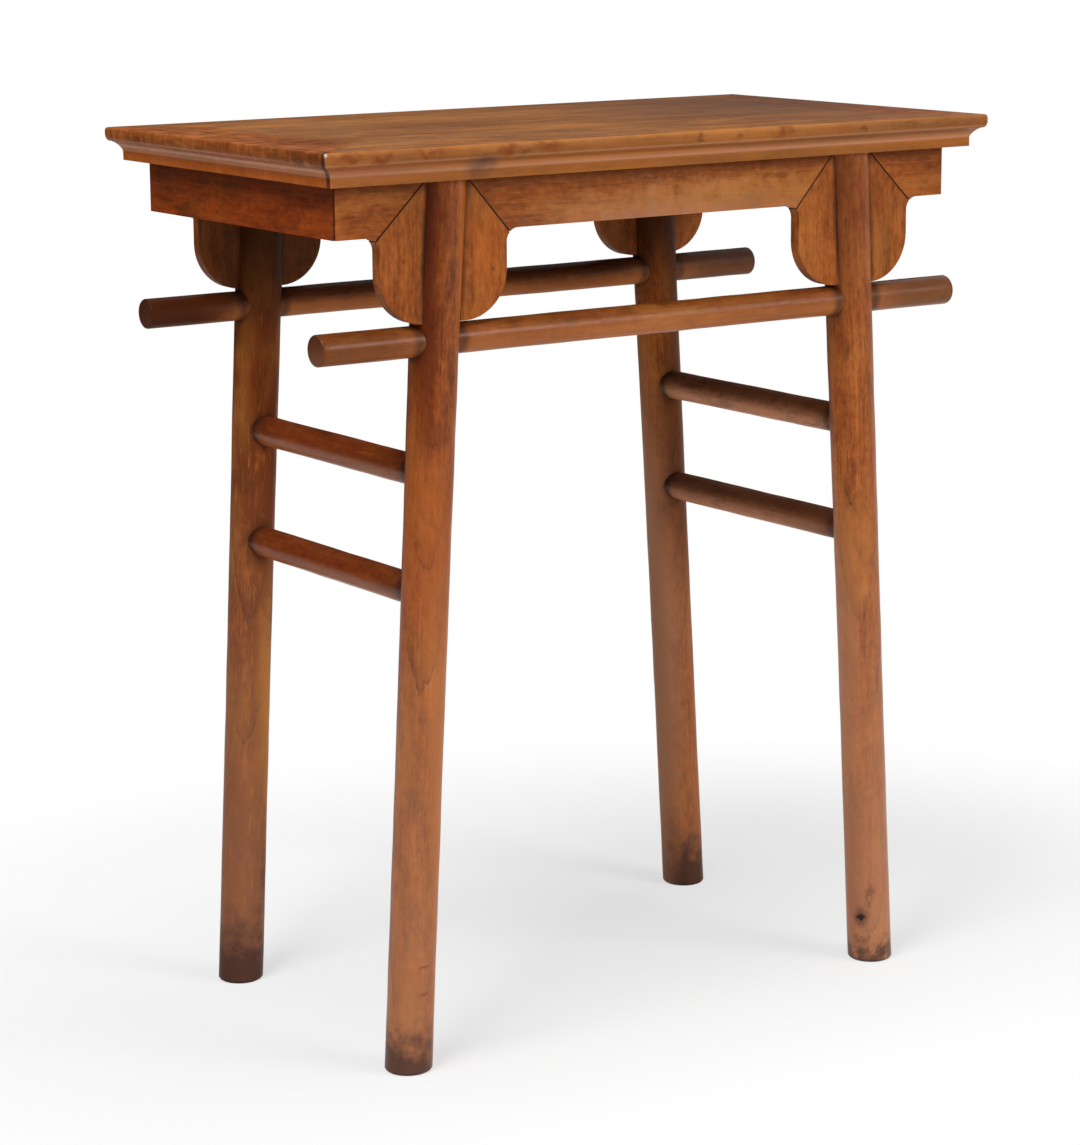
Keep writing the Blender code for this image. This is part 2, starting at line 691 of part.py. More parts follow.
def build_long_side(name, side_y):
    """The long apron and the stretcher of one long side."""
    place = (0.0, APRON_Y, APRON_BOTTOM)
    apron = add_part(f"apron_{name}", long_apron_mesh(), place, BOARD_COLOUR, 1, side_y)
    for end, side_x in ENDS:
        tongue = mitre_tongue_mesh("inner", 0.0)
        add_boolean(apron, f"mitre_tongue_{end}", tongue, "UNION", side_x, side_y)
    bar = bar_mesh(STRETCHER_DIAMETER, STRETCHER_LENGTH, STRETCHER_END_RADIUS)
    bar.transform(Matrix.Translation((0.0, LEG_Y, STRETCHER_HEIGHT)))
    place = (0.0, LEG_Y, STRETCHER_HEIGHT)
    shade_round(add_part(f"long_stretcher_{name}", bar, place, BAR_COLOUR, 1, side_y))


def build_end(name, side_x):
    """The apron and the two rungs of one short end."""
    place = (APRON_X, 0.0, APRON_BOTTOM)
    apron = add_part(f"end_apron_{name}", end_apron_mesh(), place, BOARD_COLOUR, side_x)
    for corner, side_y in LONG_SIDES:
        groove = corner_tongue_mesh(CLEARANCE)
        add_boolean(apron, f"{corner}_groove", groove, "DIFFERENCE", side_x, side_y)
    for label, height in RUNGS:
        place = (leg_axis_x(height), 0.0, height)
        rung = add_part(f"side_rung_{name}_{label}", rung_mesh(height), place, BAR_COLOUR, side_x)
        cope = leg_clearance_mesh(height - RUNG_DIAMETER, height + RUNG_DIAMETER)
        for corner, side_y in LONG_SIDES:
            add_boolean(rung, f"{corner}_cope", cope, "DIFFERENCE", side_x, side_y)
        add_boolean(rung, "tenons", rung_tenon_mesh(height, 0.0), "UNION", side_x)
        shade_round(rung)


LONG_SIDES = (("front", -1), ("back", 1))
ENDS = (("left", -1), ("right", 1))
RUNGS = (("upper", UPPER_RUNG_HEIGHT), ("lower", LOWER_RUNG_HEIGHT))

clear_scene()
PARTS = new_collection("wine_table", hidden=False)
CUTTERS = new_collection("wine_table_cutters", hidden=True)
TABLE = bpy.data.objects.new("wine_table_origin", None)
PARTS.objects.link(TABLE)

build_top()
for side_name, long_side in LONG_SIDES:
    build_long_side(side_name, long_side)
    for end_name, short_end in ENDS:
        corner_name = f"{side_name}_{end_name}"
        build_leg(corner_name, short_end, long_side)
        build_spandrel(corner_name, short_end, long_side)
        build_apron_end(corner_name, short_end, long_side)
for end_name, short_end in ENDS:
    build_end(end_name, short_end)
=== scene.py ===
"""Wine table in old walnut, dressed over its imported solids.

Every piece of the table is modelled again at the size and place of its solid, with eased arrises, hand worked
surfaces and joints that show as fine dark lines. Each one is dressed in its own cut of the same walnut.
Units are metres, +Z is up, the length runs along X and the front faces -Y.
"""

import logging
import math
from collections.abc import Iterable, Sequence
from dataclasses import dataclass, replace
from enum import Enum
from typing import ClassVar

import bmesh
import bpy
from bmesh.types import BMEdge, BMesh, BMFace, BMLayerItem, BMVert
from mathutils import Euler, Matrix, Vector, noise


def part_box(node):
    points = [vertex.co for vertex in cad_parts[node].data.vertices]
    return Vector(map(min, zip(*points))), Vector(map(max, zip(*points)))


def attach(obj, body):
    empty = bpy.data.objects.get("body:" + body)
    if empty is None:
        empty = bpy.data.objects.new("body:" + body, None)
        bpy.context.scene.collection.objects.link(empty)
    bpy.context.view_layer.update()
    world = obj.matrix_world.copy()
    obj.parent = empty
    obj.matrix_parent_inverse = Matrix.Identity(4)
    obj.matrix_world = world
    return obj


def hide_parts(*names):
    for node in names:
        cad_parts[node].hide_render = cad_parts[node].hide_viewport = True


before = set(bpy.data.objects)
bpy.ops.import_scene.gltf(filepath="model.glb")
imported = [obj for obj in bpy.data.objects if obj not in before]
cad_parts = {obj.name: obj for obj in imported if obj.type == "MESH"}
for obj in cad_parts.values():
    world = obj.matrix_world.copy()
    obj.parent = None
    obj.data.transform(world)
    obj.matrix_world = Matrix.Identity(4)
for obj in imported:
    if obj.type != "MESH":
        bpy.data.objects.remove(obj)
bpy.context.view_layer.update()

log = logging.getLogger("wine_table")

Colour = tuple[float, float, float]
Triple = tuple[float, float, float]
Point = tuple[float, float]
Seam = tuple[Triple, Triple]
Stops = tuple[Point, ...]
Socket = bpy.types.NodeSocket

# Meshing, the same for every piece
# Per-face brightening of worn arrises and painted sheen on the moulding's hollows; seams hold dirt below
# nought
WEAR_AND_SHEEN = "wear_and_sheen"
POLISH = "polish"
WELD_DISTANCE = 2e-6
MERGE_DISTANCE = 1e-5
FLAT_ANGLE = 1e-4
SHARP_ANGLE = math.radians(20)
ARRIS_ANGLE = math.radians(30)
TURNING_STEPS = 72
ARC_STEPS = 14
ROUND = 0.5
PAST = 0.006
SEAM_EASING = 0.0007
BOARD_EASING = 0.0008
SEED_STEPS = (3.1, 1.7, 5.3)

# Reaches of marks that go past the whole table, or past a leg's girth
EVERYWHERE = 2.0
AROUND_LEG = 0.10

# The studio's light
WHITE = (1.0, 1.0, 1.0, 1.0)


class Side(Enum):
    """The long sides of the table, by the sign of Y."""

    FRONT = -1
    BACK = 1

    @property
    def word(self) -> str:
        """The side's name as the solids use it."""
        return self.name.lower()


class End(Enum):
    """The short ends of the table, by the sign of X."""

    LEFT = -1
    RIGHT = 1

    @property
    def word(self) -> str:
        """The end's name as the solids use it."""
        return self.name.lower()


class Flank(Enum):
    """The two flanks of a leg, as the camera sees them."""

    LEFT = -1
    RIGHT = 1


class Joint(Enum):
    """What a joiner's tool does to a piece."""

    CUT = "DIFFERENCE"
    JOIN = "UNION"


class Edge(Enum):
    """How far an arris is rubbed bright. A seam holds dirt instead, which counts below nought."""

    PLAIN = 0.10
    SEAM = -0.85


@dataclass(frozen=True)
class TableFrame:
    """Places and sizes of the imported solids, for the corner at +X +Y."""

    half_length: float
    half_depth: float
    height: float
    underside: float
    frame_width: float
    board_top: float
    apron_bottom: float
    apron_face: float
    board_thickness: float
    end_face: float
    spandrel_inner: float
    spandrel_outer: float
    spandrel_foot: float
    leg_y: float
    leg_head_x: float
    leg_head_radius: float
    leg_outer_x: float
    stretcher_half: float
    stretcher_radius: float
    stretcher_height: float
    rung_radius: float

    @classmethod
    def read(cls) -> "TableFrame":
        """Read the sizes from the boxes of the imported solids.

        Returns:
            The table's sizes.
        """
        rail_low, rail_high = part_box("top_rail_back")
        apron_low, apron_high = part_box("apron_back")
        _, end_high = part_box("end_apron_right")
        spandrel_low, spandrel_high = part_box("spandrel_back_right")
        leg_low, leg_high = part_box("leg_back_right")
        bar_low, bar_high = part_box("long_stretcher_back")
        rung_low, rung_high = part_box("side_rung_right_upper")
        head_radius = (leg_high.y - leg_low.y) / 2
        return cls(
            half_length=rail_high.x,
            half_depth=rail_high.y,
            height=rail_high.z,
            underside=rail_low.z,
            frame_width=rail_high.y - rail_low.y,
            board_top=apron_high.z,
            apron_bottom=apron_low.z,
            apron_face=apron_high.y,
            board_thickness=apron_high.y - apron_low.y,
            end_face=end_high.x,
            spandrel_inner=spandrel_low.x,
            spandrel_outer=spandrel_high.x,
            spandrel_foot=spandrel_low.z,
            leg_y=(leg_low.y + leg_high.y) / 2,
            leg_head_x=leg_low.x + head_radius,
            leg_head_radius=head_radius,
            leg_outer_x=leg_high.x,
            stretcher_half=bar_high.x,
            stretcher_radius=(bar_high.z - bar_low.z) / 2,
            stretcher_height=(bar_high.z + bar_low.z) / 2,
            rung_radius=(rung_high.x - rung_low.x) / 2,
        )


@dataclass(frozen=True)
class Mark:
    """A soft-edged stain, scuff or patch of dirt, or a patch of painted light or shade, in the wood, as an
    ellipsoid in the table's space.
    """

    centre: Triple
    reach: Triple
    colour: Colour
    strength: float
    softness: float = 0.7
    ragged: float = 0.0
    turn: Triple = (0.0, 0.0, 0.0)

    @classmethod
    def band(
        cls, centre: Triple, tall: float, colour: Colour, strength: float, softness: float = 1.0
    ) -> "Mark":
        """A level band that runs through the whole table.

        Args:
            centre: A point at the band's height.
            tall: How far it reaches up and down.
            colour: Its colour.
            strength: How much of the colour shows.
            softness: How soft its edges are.

        Returns:
            The mark.
        """
        return cls(centre, (EVERYWHERE, EVERYWHERE, tall), colour, strength, softness)


@dataclass(frozen=True)
class Cut:
    """How a piece was cut from the log: where its grain runs and where the pith lay."""

    centre: Triple
    turn: Triple
    seed: float
    tone: float = 0.0
    pith: Point = (0.045, 0.02)
    tilt: Point = (0.012, 0.018)

    @property
    def fibre(self) -> Vector:
        """The direction in which the fibres run."""
        return Euler(self.turn).to_matrix() @ Vector((0.0, 0.0, 1.0))


@dataclass(frozen=True)
class Cloud:
    """A cloudy pattern: its spots to a metre, its step from a piece's seed, its detail and its range."""

    stretch: Triple
    seed_step: int
    detail: float
    shows: Point = (0.3, 0.7)


class Pattern(Enum):
    """The cloudy patterns that make up the look of walnut. The last axis runs along the fibres."""

    DRIFT = Cloud((7.0, 7.0, 2.6), 0, 2.0)
    FIBRE = Cloud((420.0, 420.0, 14.0), 1, 4.0)
    STREAK = Cloud((80.0, 80.0, 4.0), 2, 4.0)
    RING = Cloud((10.0, 10.0, 3.0), 3, 2.0)
    PORE = Cloud((760.0, 760.0, 60.0), 4, 2.0, (0.57, 0.70))
    BLOTCH = Cloud((11.0, 11.0, 4.5), 5, 3.0)
    CROSS = Cloud((28.0, 28.0, 110.0), 6, 3.0)
    RAGGED = Cloud((90.0, 90.0, 90.0), 7, 3.0)
    SHAKE = Cloud((150.0, 150.0, 40.0), 8, 3.0)
    FADE = Cloud((30.0, 30.0, 6.0), 9, 2.0, (0.40, 0.62))
    MOTTLE = Cloud((55.0, 55.0, 18.0), 10, 4.0)
    WARMTH = Cloud((24.0, 24.0, 7.0), 11, 3.0, (0.45, 0.70))
    STAIN = Cloud((62.0, 62.0, 24.0), 12, 6.0, (0.53, 0.64))
    FLECK = Cloud((340.0, 340.0, 42.0), 13, 2.0, (0.58, 0.70))
    GRIT = Cloud((230.0, 230.0, 120.0), 14, 4.0)


@dataclass(frozen=True)
class WoodFinish:
    """The colours and the surface of one kind of piece in oiled walnut."""

    slot: str
    dark: Colour
    body: Colour
    light: Colour
    gold: Colour = (0.360, 0.130, 0.026)
    worn: Colour = (0.46, 0.165, 0.030)
    stain: Colour = (0.080, 0.017, 0.004)
    grime: Colour = (0.022, 0.009, 0.005)
    end_grain: Colour = (0.100, 0.034, 0.014)
    roughness: float = 0.42
    specular: float = 0.20
    polished_roughness: float = 0.26
    polished_specular: float = 0.50
    ring_gap: float = 0.0046
    vein_gap: float = 0.017
    ring_depth: float = 0.14
    vein_depth: float = 0.45
    streak_depth: float = 0.40
    fibre_depth: float = 0.24
    blotch_depth: float = 1.05
    mottle_depth: float = 0.75
    figure_depth: float = 0.25
    grit_depth: float = 0.55
    gold_depth: float = 0.55
    stain_depth: float = 0.50
    fleck_depth: float = 0.45
    pore_depth: float = 0.32
    relief: float = 0.16


class NodeSketch:
    """Short words for drawing the nodes of one material."""

    noise_roughness: float = 0.6

    def __init__(self, tree: bpy.types.NodeTree) -> None:
        """Start on a material's node tree."""
        self.tree = tree

    def put(self, socket: Socket, value: object) -> None:
        """Join a socket to another one, or set its value.

        Args:
            socket: The input that takes the value.
            value: An output socket, or a plain value.
        """
        if isinstance(value, Socket):
            self.tree.links.new(value, socket)
        else:
            socket.default_value = value

    def node(self, kind: str, values: dict, **settings: object) -> bpy.types.Node:
        """Add a node.

        Args:
            kind: The node's type.
            values: What its inputs take, by name or by index.
            **settings: Its own options.

        Returns:
            The new node.
        """
        made = self.tree.nodes.new(kind)
        for name, setting in settings.items():
            setattr(made, name, setting)
        for key, value in values.items():
            self.put(made.inputs[key], value)
        return made

    def math(self, operation: str, first: object, second: object = 0.0, clamp: bool = False) -> Socket:
        """Reckon with one or two numbers.

        Args:
            operation: The sum to do.
            first: The first number.
            second: The second number, where the sum has one.
            clamp: Whether the answer stays between 0 and 1.

        Returns:
            The answer.
        """
        values = {0: first, 1: second}
        return self.node("ShaderNodeMath", values, operation=operation, use_clamp=clamp).outputs[0]

    def vector(self, operation: str, first: object, second: object = (0.0, 0.0, 0.0)) -> bpy.types.Node:
        """Reckon with vectors.

        Args:
            operation: The sum to do.
            first: The first vector.
            second: The second vector, where the sum has one.

        Returns:
            The node, which gives a vector or a number.
        """
        return self.node("ShaderNodeVectorMath", {0: first, 1: second}, operation=operation)

    def placed(
        self, vector: Socket, location: Triple, turn: Triple, scale: Triple = (1.0, 1.0, 1.0)
    ) -> Socket:
        """See a point from a place of its own, turned and scaled.

        Args:
            vector: The point.
            location: The place that becomes the origin.
            turn: The angles of the new axes.
            scale: The length that counts as one, on each axis.

        Returns:
            The point in the new place.
        """
        values = {"Vector": vector, "Location": location, "Rotation": turn, "Scale": scale}
        return self.node("ShaderNodeMapping", values, vector_type="TEXTURE").outputs["Vector"]

    def noise(self, vector: Socket, stretch: Triple, seed: float, detail: float) -> bpy.types.Node:
        """A cloudy pattern.

        Args:
            vector: Where the pattern is read.
            stretch: How many spots there are to a metre on each axis.
            seed: Which pattern it is.
            detail: How fine it gets.

        Returns:
            The noise node.
        """
        values = {
            "Vector": self.vector("MULTIPLY", vector, stretch).outputs[0],
            "W": seed,
            "Scale": 1.0,
            "Detail": detail,
            "Roughness": self.noise_roughness,
        }
        return self.node("ShaderNodeTexNoise", values, noise_dimensions="4D")

    def ramp(self, factor: Socket, stops: Sequence[tuple[float, Colour]]) -> Socket:
        """Colours along a scale.

        Args:
            factor: The place on the scale.
            stops: The places and their colours, in order.

        Returns:
            The colour.
        """
        made = self.node("ShaderNodeValToRGB", {"Fac": factor})
        scale = made.color_ramp.elements
        while len(scale) < len(stops):
            scale.new(1.0)
        for stop, (place, colour) in zip(scale, stops):
            stop.position = place
            stop.color = (*colour, 1.0)
        return made.outputs["Color"]

    def greys(self, factor: Socket, stops: Stops) -> Socket:
        """Greys along a scale.

        Args:
            factor: The place on the scale.
            stops: The places and how light they are, in order.

        Returns:
            The grey.
        """
        return self.ramp(factor, [(place, (tone, tone, tone)) for place, tone in stops])

    def shaken(self, point: Socket, colour: Socket, reach: Triple) -> Socket:
        """Draw a point aside, another way in each place.

        Args:
            point: The point.
            colour: The colour of a cloudy pattern there.
            reach: How far the point may move on each axis.

        Returns:
            The moved point.
        """
        centred = self.vector("SUBTRACT", colour, (0.5, 0.5, 0.5)).outputs[0]
        shift = self.vector("MULTIPLY", centred, reach).outputs[0]
        return self.vector("ADD", point, shift).outputs[0]

    def span(self, value: Socket, low: float, high: float, first: float, last: float) -> Socket:
        """Carry a number smoothly from one range to another.

        Args:
            value: The number.
            low: Where the old range starts.
            high: Where the old range ends.
            first: What it gives at the start.
            last: What it gives at the end.

        Returns:
            The carried number.
        """
        values = {"Value": value, "From Min": low, "From Max": high, "To Min": first, "To Max": last}
        return self.node("ShaderNodeMapRange", values, interpolation_type="SMOOTHSTEP").outputs[0]

    def blend(self, share: object, first: object, second: object) -> Socket:
        """Lay one colour over another.

        Args:
            share: How much of the second colour shows.
            first: The colour below.
            second: The colour on top.

        Returns:
            The joined colour.
        """
        first, second = (c if isinstance(c, Socket) else (*c, 1.0) for c in (first, second))
        values = {0: share, 6: first, 7: second}
        return self.node("ShaderNodeMix", values, data_type="RGBA").outputs[2]


@dataclass(frozen=True)
class Walnut:
    """One piece's own walnut: a finish, the way the piece was cut and the marks it carries."""

    finish: WoodFinish
    cut: Cut
    marks: tuple[Mark, ...] = ()
    wander: ClassVar[Triple] = (0.016, 0.016, 0.0)
    ring_drift: ClassVar[float] = 2.2
    ring_tones: ClassVar[Stops] = ((0.0, 0.62), (0.55, 0.52), (0.82, 0.34), (0.94, 0.06), (1.0, 0.60))
    vein_drift: ClassVar[float] = 0.35
    vein_tones: ClassVar[Stops] = ((0.0, 0.0), (0.70, 0.0), (0.95, 0.35), (0.975, 1.0), (1.0, 0.0))
    tone_stops: ClassVar[Triple] = (0.1, 0.5, 0.9)
    gloss_drift: ClassVar[float] = 0.07
    rubbing: ClassVar[Point] = (0.5, 1.2)
    end_facing: ClassVar[Point] = (0.55, 0.95)
    end_depth: ClassVar[float] = 0.8
    ring_relief: ClassVar[float] = 0.25
    pore_relief: ClassVar[float] = 0.6
    relief_distance: ClassVar[float] = 0.0004

    def material(self, name: str) -> bpy.types.Material:
        """Draw the material.

        Args:
            name: The material's name.

        Returns:
            The new material.
        """
        finish = self.finish
        material = bpy.data.materials.new(name)
        material.use_nodes = True
        sketch = NodeSketch(material.node_tree)
        shader = material.node_tree.nodes["Principled BSDF"]
        spot = sketch.node("ShaderNodeTexCoord", {})
        place = spot.outputs["Object"]
        grain = sketch.placed(place, self.cut.centre, self.cut.turn)
        drift = self.cloud(sketch, grain, Pattern.DRIFT).outputs["Color"]
        wavy = sketch.shaken(grain, drift, self.wander)
        radius = self.pith_distance(sketch, wavy)
        rings = self.rings(sketch, grain, radius)
        fibre = self.cloud(sketch, wavy, Pattern.FIBRE).outputs[0]
        streak = self.cloud(sketch, wavy, Pattern.STREAK).outputs[0]
        pores = self.share(sketch, wavy, Pattern.PORE, 1.0)
        lines = ((rings, finish.ring_depth), (fibre, finish.fibre_depth), (streak, finish.streak_depth))
        colour = self.figure(sketch, grain, wavy, lines)
        colour = self.veins(sketch, wavy, radius, colour)
        colour = sketch.blend(sketch.math("MULTIPLY", pores, finish.pore_depth), colour, finish.grime)
        colour = self.ends(sketch, spot.outputs["Normal"], colour)
        colour = self.edges(sketch, colour, streak)
        for mark in self.marks:
            colour = self.marked(sketch, place, colour, mark)
        sketch.put(shader.inputs["Base Color"], colour)
        self.surface(sketch, shader, streak)
        sketch.put(shader.inputs["Normal"], self.relief(sketch, fibre, pores, rings))
        return material

    def cloud(self, sketch: NodeSketch, point: Socket, pattern: Pattern) -> bpy.types.Node:
        """Draw a cloudy pattern as this piece has it.

        Args:
            sketch: The material being drawn.
            point: Where the pattern is read.
            pattern: Which pattern it is.

        Returns:
            The noise node.
        """
        cloud = pattern.value
        return sketch.noise(point, cloud.stretch, self.cut.seed + cloud.seed_step, cloud.detail)

    def share(self, sketch: NodeSketch, point: Socket, pattern: Pattern, depth: float) -> Socket:
        """How much of a cloudy pattern shows.

        Args:
            sketch: The material being drawn.
            point: Where the pattern is read.
            pattern: Which pattern it is.
            depth: The most that can show.

        Returns:
            The share.
        """
        low, high = pattern.value.shows
        return sketch.span(self.cloud(sketch, point, pattern).outputs[0], low, high, 0.0, depth)

    def surface(self, sketch: NodeSketch, shader: bpy.types.Node, streak: Socket) -> None:
        """Set how the oiled surface shines, more where long handling has polished it.

        Args:
            sketch: The material being drawn.
            shader: The material's shader.
            streak: A broad pattern that makes the shine uneven.
        """
        finish = self.finish
        low, high = Pattern.STREAK.value.shows
        polish = sketch.node("ShaderNodeAttribute", {}, attribute_name=POLISH).outputs["Fac"]
        rough = sketch.span(polish, 0.0, 1.0, finish.roughness, finish.polished_roughness)
        uneven = sketch.span(streak, low, high, self.gloss_drift, -self.gloss_drift)
        sketch.put(shader.inputs["Roughness"], sketch.math("ADD", rough, uneven))
        shine = sketch.span(polish, 0.0, 1.0, finish.specular, finish.polished_specular)
        sketch.put(shader.inputs["Specular IOR Level"], shine)

    def pith_distance(self, sketch: NodeSketch, wavy: Socket) -> Socket:
        """How far a point lies from the pith of the tree.

        Args:
            sketch: The material being drawn.
            wavy: A point along and across the fibres.

        Returns:
            The distance.
        """
        turn = (self.cut.tilt[0], self.cut.tilt[1], 0.0)
        from_pith = sketch.placed(wavy, (self.cut.pith[0], self.cut.pith[1], 0.0), turn)
        flat = sketch.vector("MULTIPLY", from_pith, (1.0, 1.0, 0.0)).outputs[0]
        return sketch.vector("LENGTH", flat).outputs["Value"]

    def rings(self, sketch: NodeSketch, grain: Socket, radius: Socket) -> Socket:
        """Growth rings round the pith, each with a fine dark late edge.

        Args:
            sketch: The material being drawn.
            grain: A point along and across the fibres.
            radius: How far the point is from the pith.

        Returns:
            How light the ring is there.
        """
        count = sketch.math("DIVIDE", radius, self.finish.ring_gap)
        uneven = self.cloud(sketch, grain, Pattern.RING).outputs[0]
        drift = sketch.math("MULTIPLY", uneven, self.ring_drift)
        ring = sketch.math("FRACT", sketch.math("ADD", count, drift))
        return sketch.greys(ring, self.ring_tones)

    def veins(self, sketch: NodeSketch, wavy: Socket, radius: Socket, colour: Socket) -> Socket:
        """Draw the few dark lines that years of slow growth left, which taper to points along a leg.

        Args:
            sketch: The material being drawn.
            wavy: A point along and across the fibres.
            radius: How far the point is from the pith.
            colour: The colour so far.

        Returns:
            The colour with its veins.
        """
        shake = self.cloud(sketch, wavy, Pattern.SHAKE).outputs[0]
        count = sketch.math("DIVIDE", radius, self.finish.vein_gap)
        drift = sketch.math("MULTIPLY", shake, self.vein_drift)
        year = sketch.math("FRACT", sketch.math("ADD", count, drift))
        line = sketch.greys(year, self.vein_tones)
        fade = self.share(sketch, wavy, Pattern.FADE, self.finish.vein_depth)
        return sketch.blend(sketch.math("MULTIPLY", line, fade), colour, self.finish.grime)

    def figure(
        self, sketch: NodeSketch, grain: Socket, wavy: Socket, lines: Sequence[tuple[Socket, float]]
    ) -> Socket:
        """The wood's colour from its rings, fibres, cloudy patches and cross figure.

        Args:
            sketch: The material being drawn.
            grain: A point along and across the fibres.
            wavy: The same point, drawn aside.
            lines: How light the rings, fibres and streaks are there, and how deep they go.

        Returns:
            The colour.
        """
        finish = self.finish
        clouds = (
            (Pattern.BLOTCH, grain, finish.blotch_depth),
            (Pattern.MOTTLE, wavy, finish.mottle_depth),
            (Pattern.CROSS, wavy, finish.figure_depth),
            (Pattern.GRIT, wavy, finish.grit_depth),
        )
        parts = list(lines)
        for pattern, point, depth in clouds:
            parts.append((self.cloud(sketch, point, pattern).outputs[0], depth))
        tone = 0.5 + self.cut.tone - 0.5 * sum(depth for _, depth in parts)
        for light, depth in parts:
            tone = sketch.math("ADD", tone, sketch.math("MULTIPLY", light, depth))
        colour = sketch.ramp(tone, list(zip(self.tone_stops, (finish.dark, finish.body, finish.light))))
        patches = (
            (Pattern.WARMTH, grain, finish.gold_depth, finish.gold),
            (Pattern.STAIN, wavy, finish.stain_depth, finish.stain),
            (Pattern.FLECK, wavy, finish.fleck_depth, finish.gold),
        )
        for pattern, point, depth, tint in patches:
            colour = sketch.blend(self.share(sketch, point, pattern, depth), colour, tint)
        return colour

    def ends(self, sketch: NodeSketch, normal: Socket, colour: Socket) -> Socket:
        """Darken the faces that cut across the fibres.

        Args:
            sketch: The material being drawn.
            normal: The way the surface faces.
            colour: The colour so far.

        Returns:
            The colour with dark end grain.
        """
        across = sketch.vector("DOT_PRODUCT", normal, tuple(self.cut.fibre)).outputs["Value"]
        low, high = self.end_facing
        share = sketch.span(sketch.math("ABSOLUTE", across), low, high, 0.0, self.end_depth)
        return sketch.blend(share, colour, self.finish.end_grain)

    def edges(self, sketch: NodeSketch, colour: Socket, streak: Socket) -> Socket:
        """Rub the arrises bright, lay a painted sheen on the moulding's hollows and fill the seams with dirt.

        Args:
            sketch: The material being drawn.
            colour: The colour so far.
            streak: A broad pattern that makes the rubbing and the painted sheen uneven.

        Returns:
            The colour with its edges.
        """
        wear_and_sheen = sketch.node("ShaderNodeAttribute", {}, attribute_name=WEAR_AND_SHEEN).outputs["Fac"]
        low, high = Pattern.STREAK.value.shows
        uneven = sketch.span(streak, low, high, *self.rubbing)
        rubbed = sketch.math("MULTIPLY", sketch.math("MAXIMUM", wear_and_sheen, 0.0), uneven, clamp=True)
        dirty = sketch.math("MULTIPLY", sketch.math("MINIMUM", wear_and_sheen, 0.0), -1.0, clamp=True)
        # The worn colour brightens worn arrises and paints the sheen on the moulding's hollows
        colour = sketch.blend(rubbed, colour, self.finish.worn)
        return sketch.blend(dirty, colour, self.finish.grime)

    def marked(self, sketch: NodeSketch, place: Socket, colour: Socket, mark: Mark) -> Socket:
        """Lay a mark over the wood.

        Args:
            sketch: The material being drawn.
            place: A point in the table's space.
            colour: The colour so far.
            mark: The mark.

        Returns:
            The colour with the mark on it.
        """
        if mark.ragged:
            drift = self.cloud(sketch, place, Pattern.RAGGED).outputs["Color"]
            place = sketch.shaken(place, drift, (mark.ragged,) * 3)
        inside = sketch.placed(place, mark.centre, mark.turn, mark.reach)
        far = sketch.vector("LENGTH", inside).outputs["Value"]
        share = sketch.span(far, 1.0 - mark.softness, 1.0, mark.strength, 0.0)
        return sketch.blend(share, colour, mark.colour)

    def relief(self, sketch: NodeSketch, fibre: Socket, pores: Socket, rings: Socket) -> Socket:
        """The faint relief of fibres, rings and open pores.

        Args:
            sketch: The material being drawn.
            fibre: How light the fibres are.
            pores: How deep the pores are.
            rings: How light the rings are.

        Returns:
            The surface's normal.
        """
        height = sketch.math("ADD", fibre, sketch.math("MULTIPLY", rings, self.ring_relief))
        height = sketch.math("SUBTRACT", height, sketch.math("MULTIPLY", pores, self.pore_relief))
        values = {"Height": height, "Strength": self.finish.relief, "Distance": self.relief_distance}
        return sketch.node("ShaderNodeBump", values).outputs["Normal"]


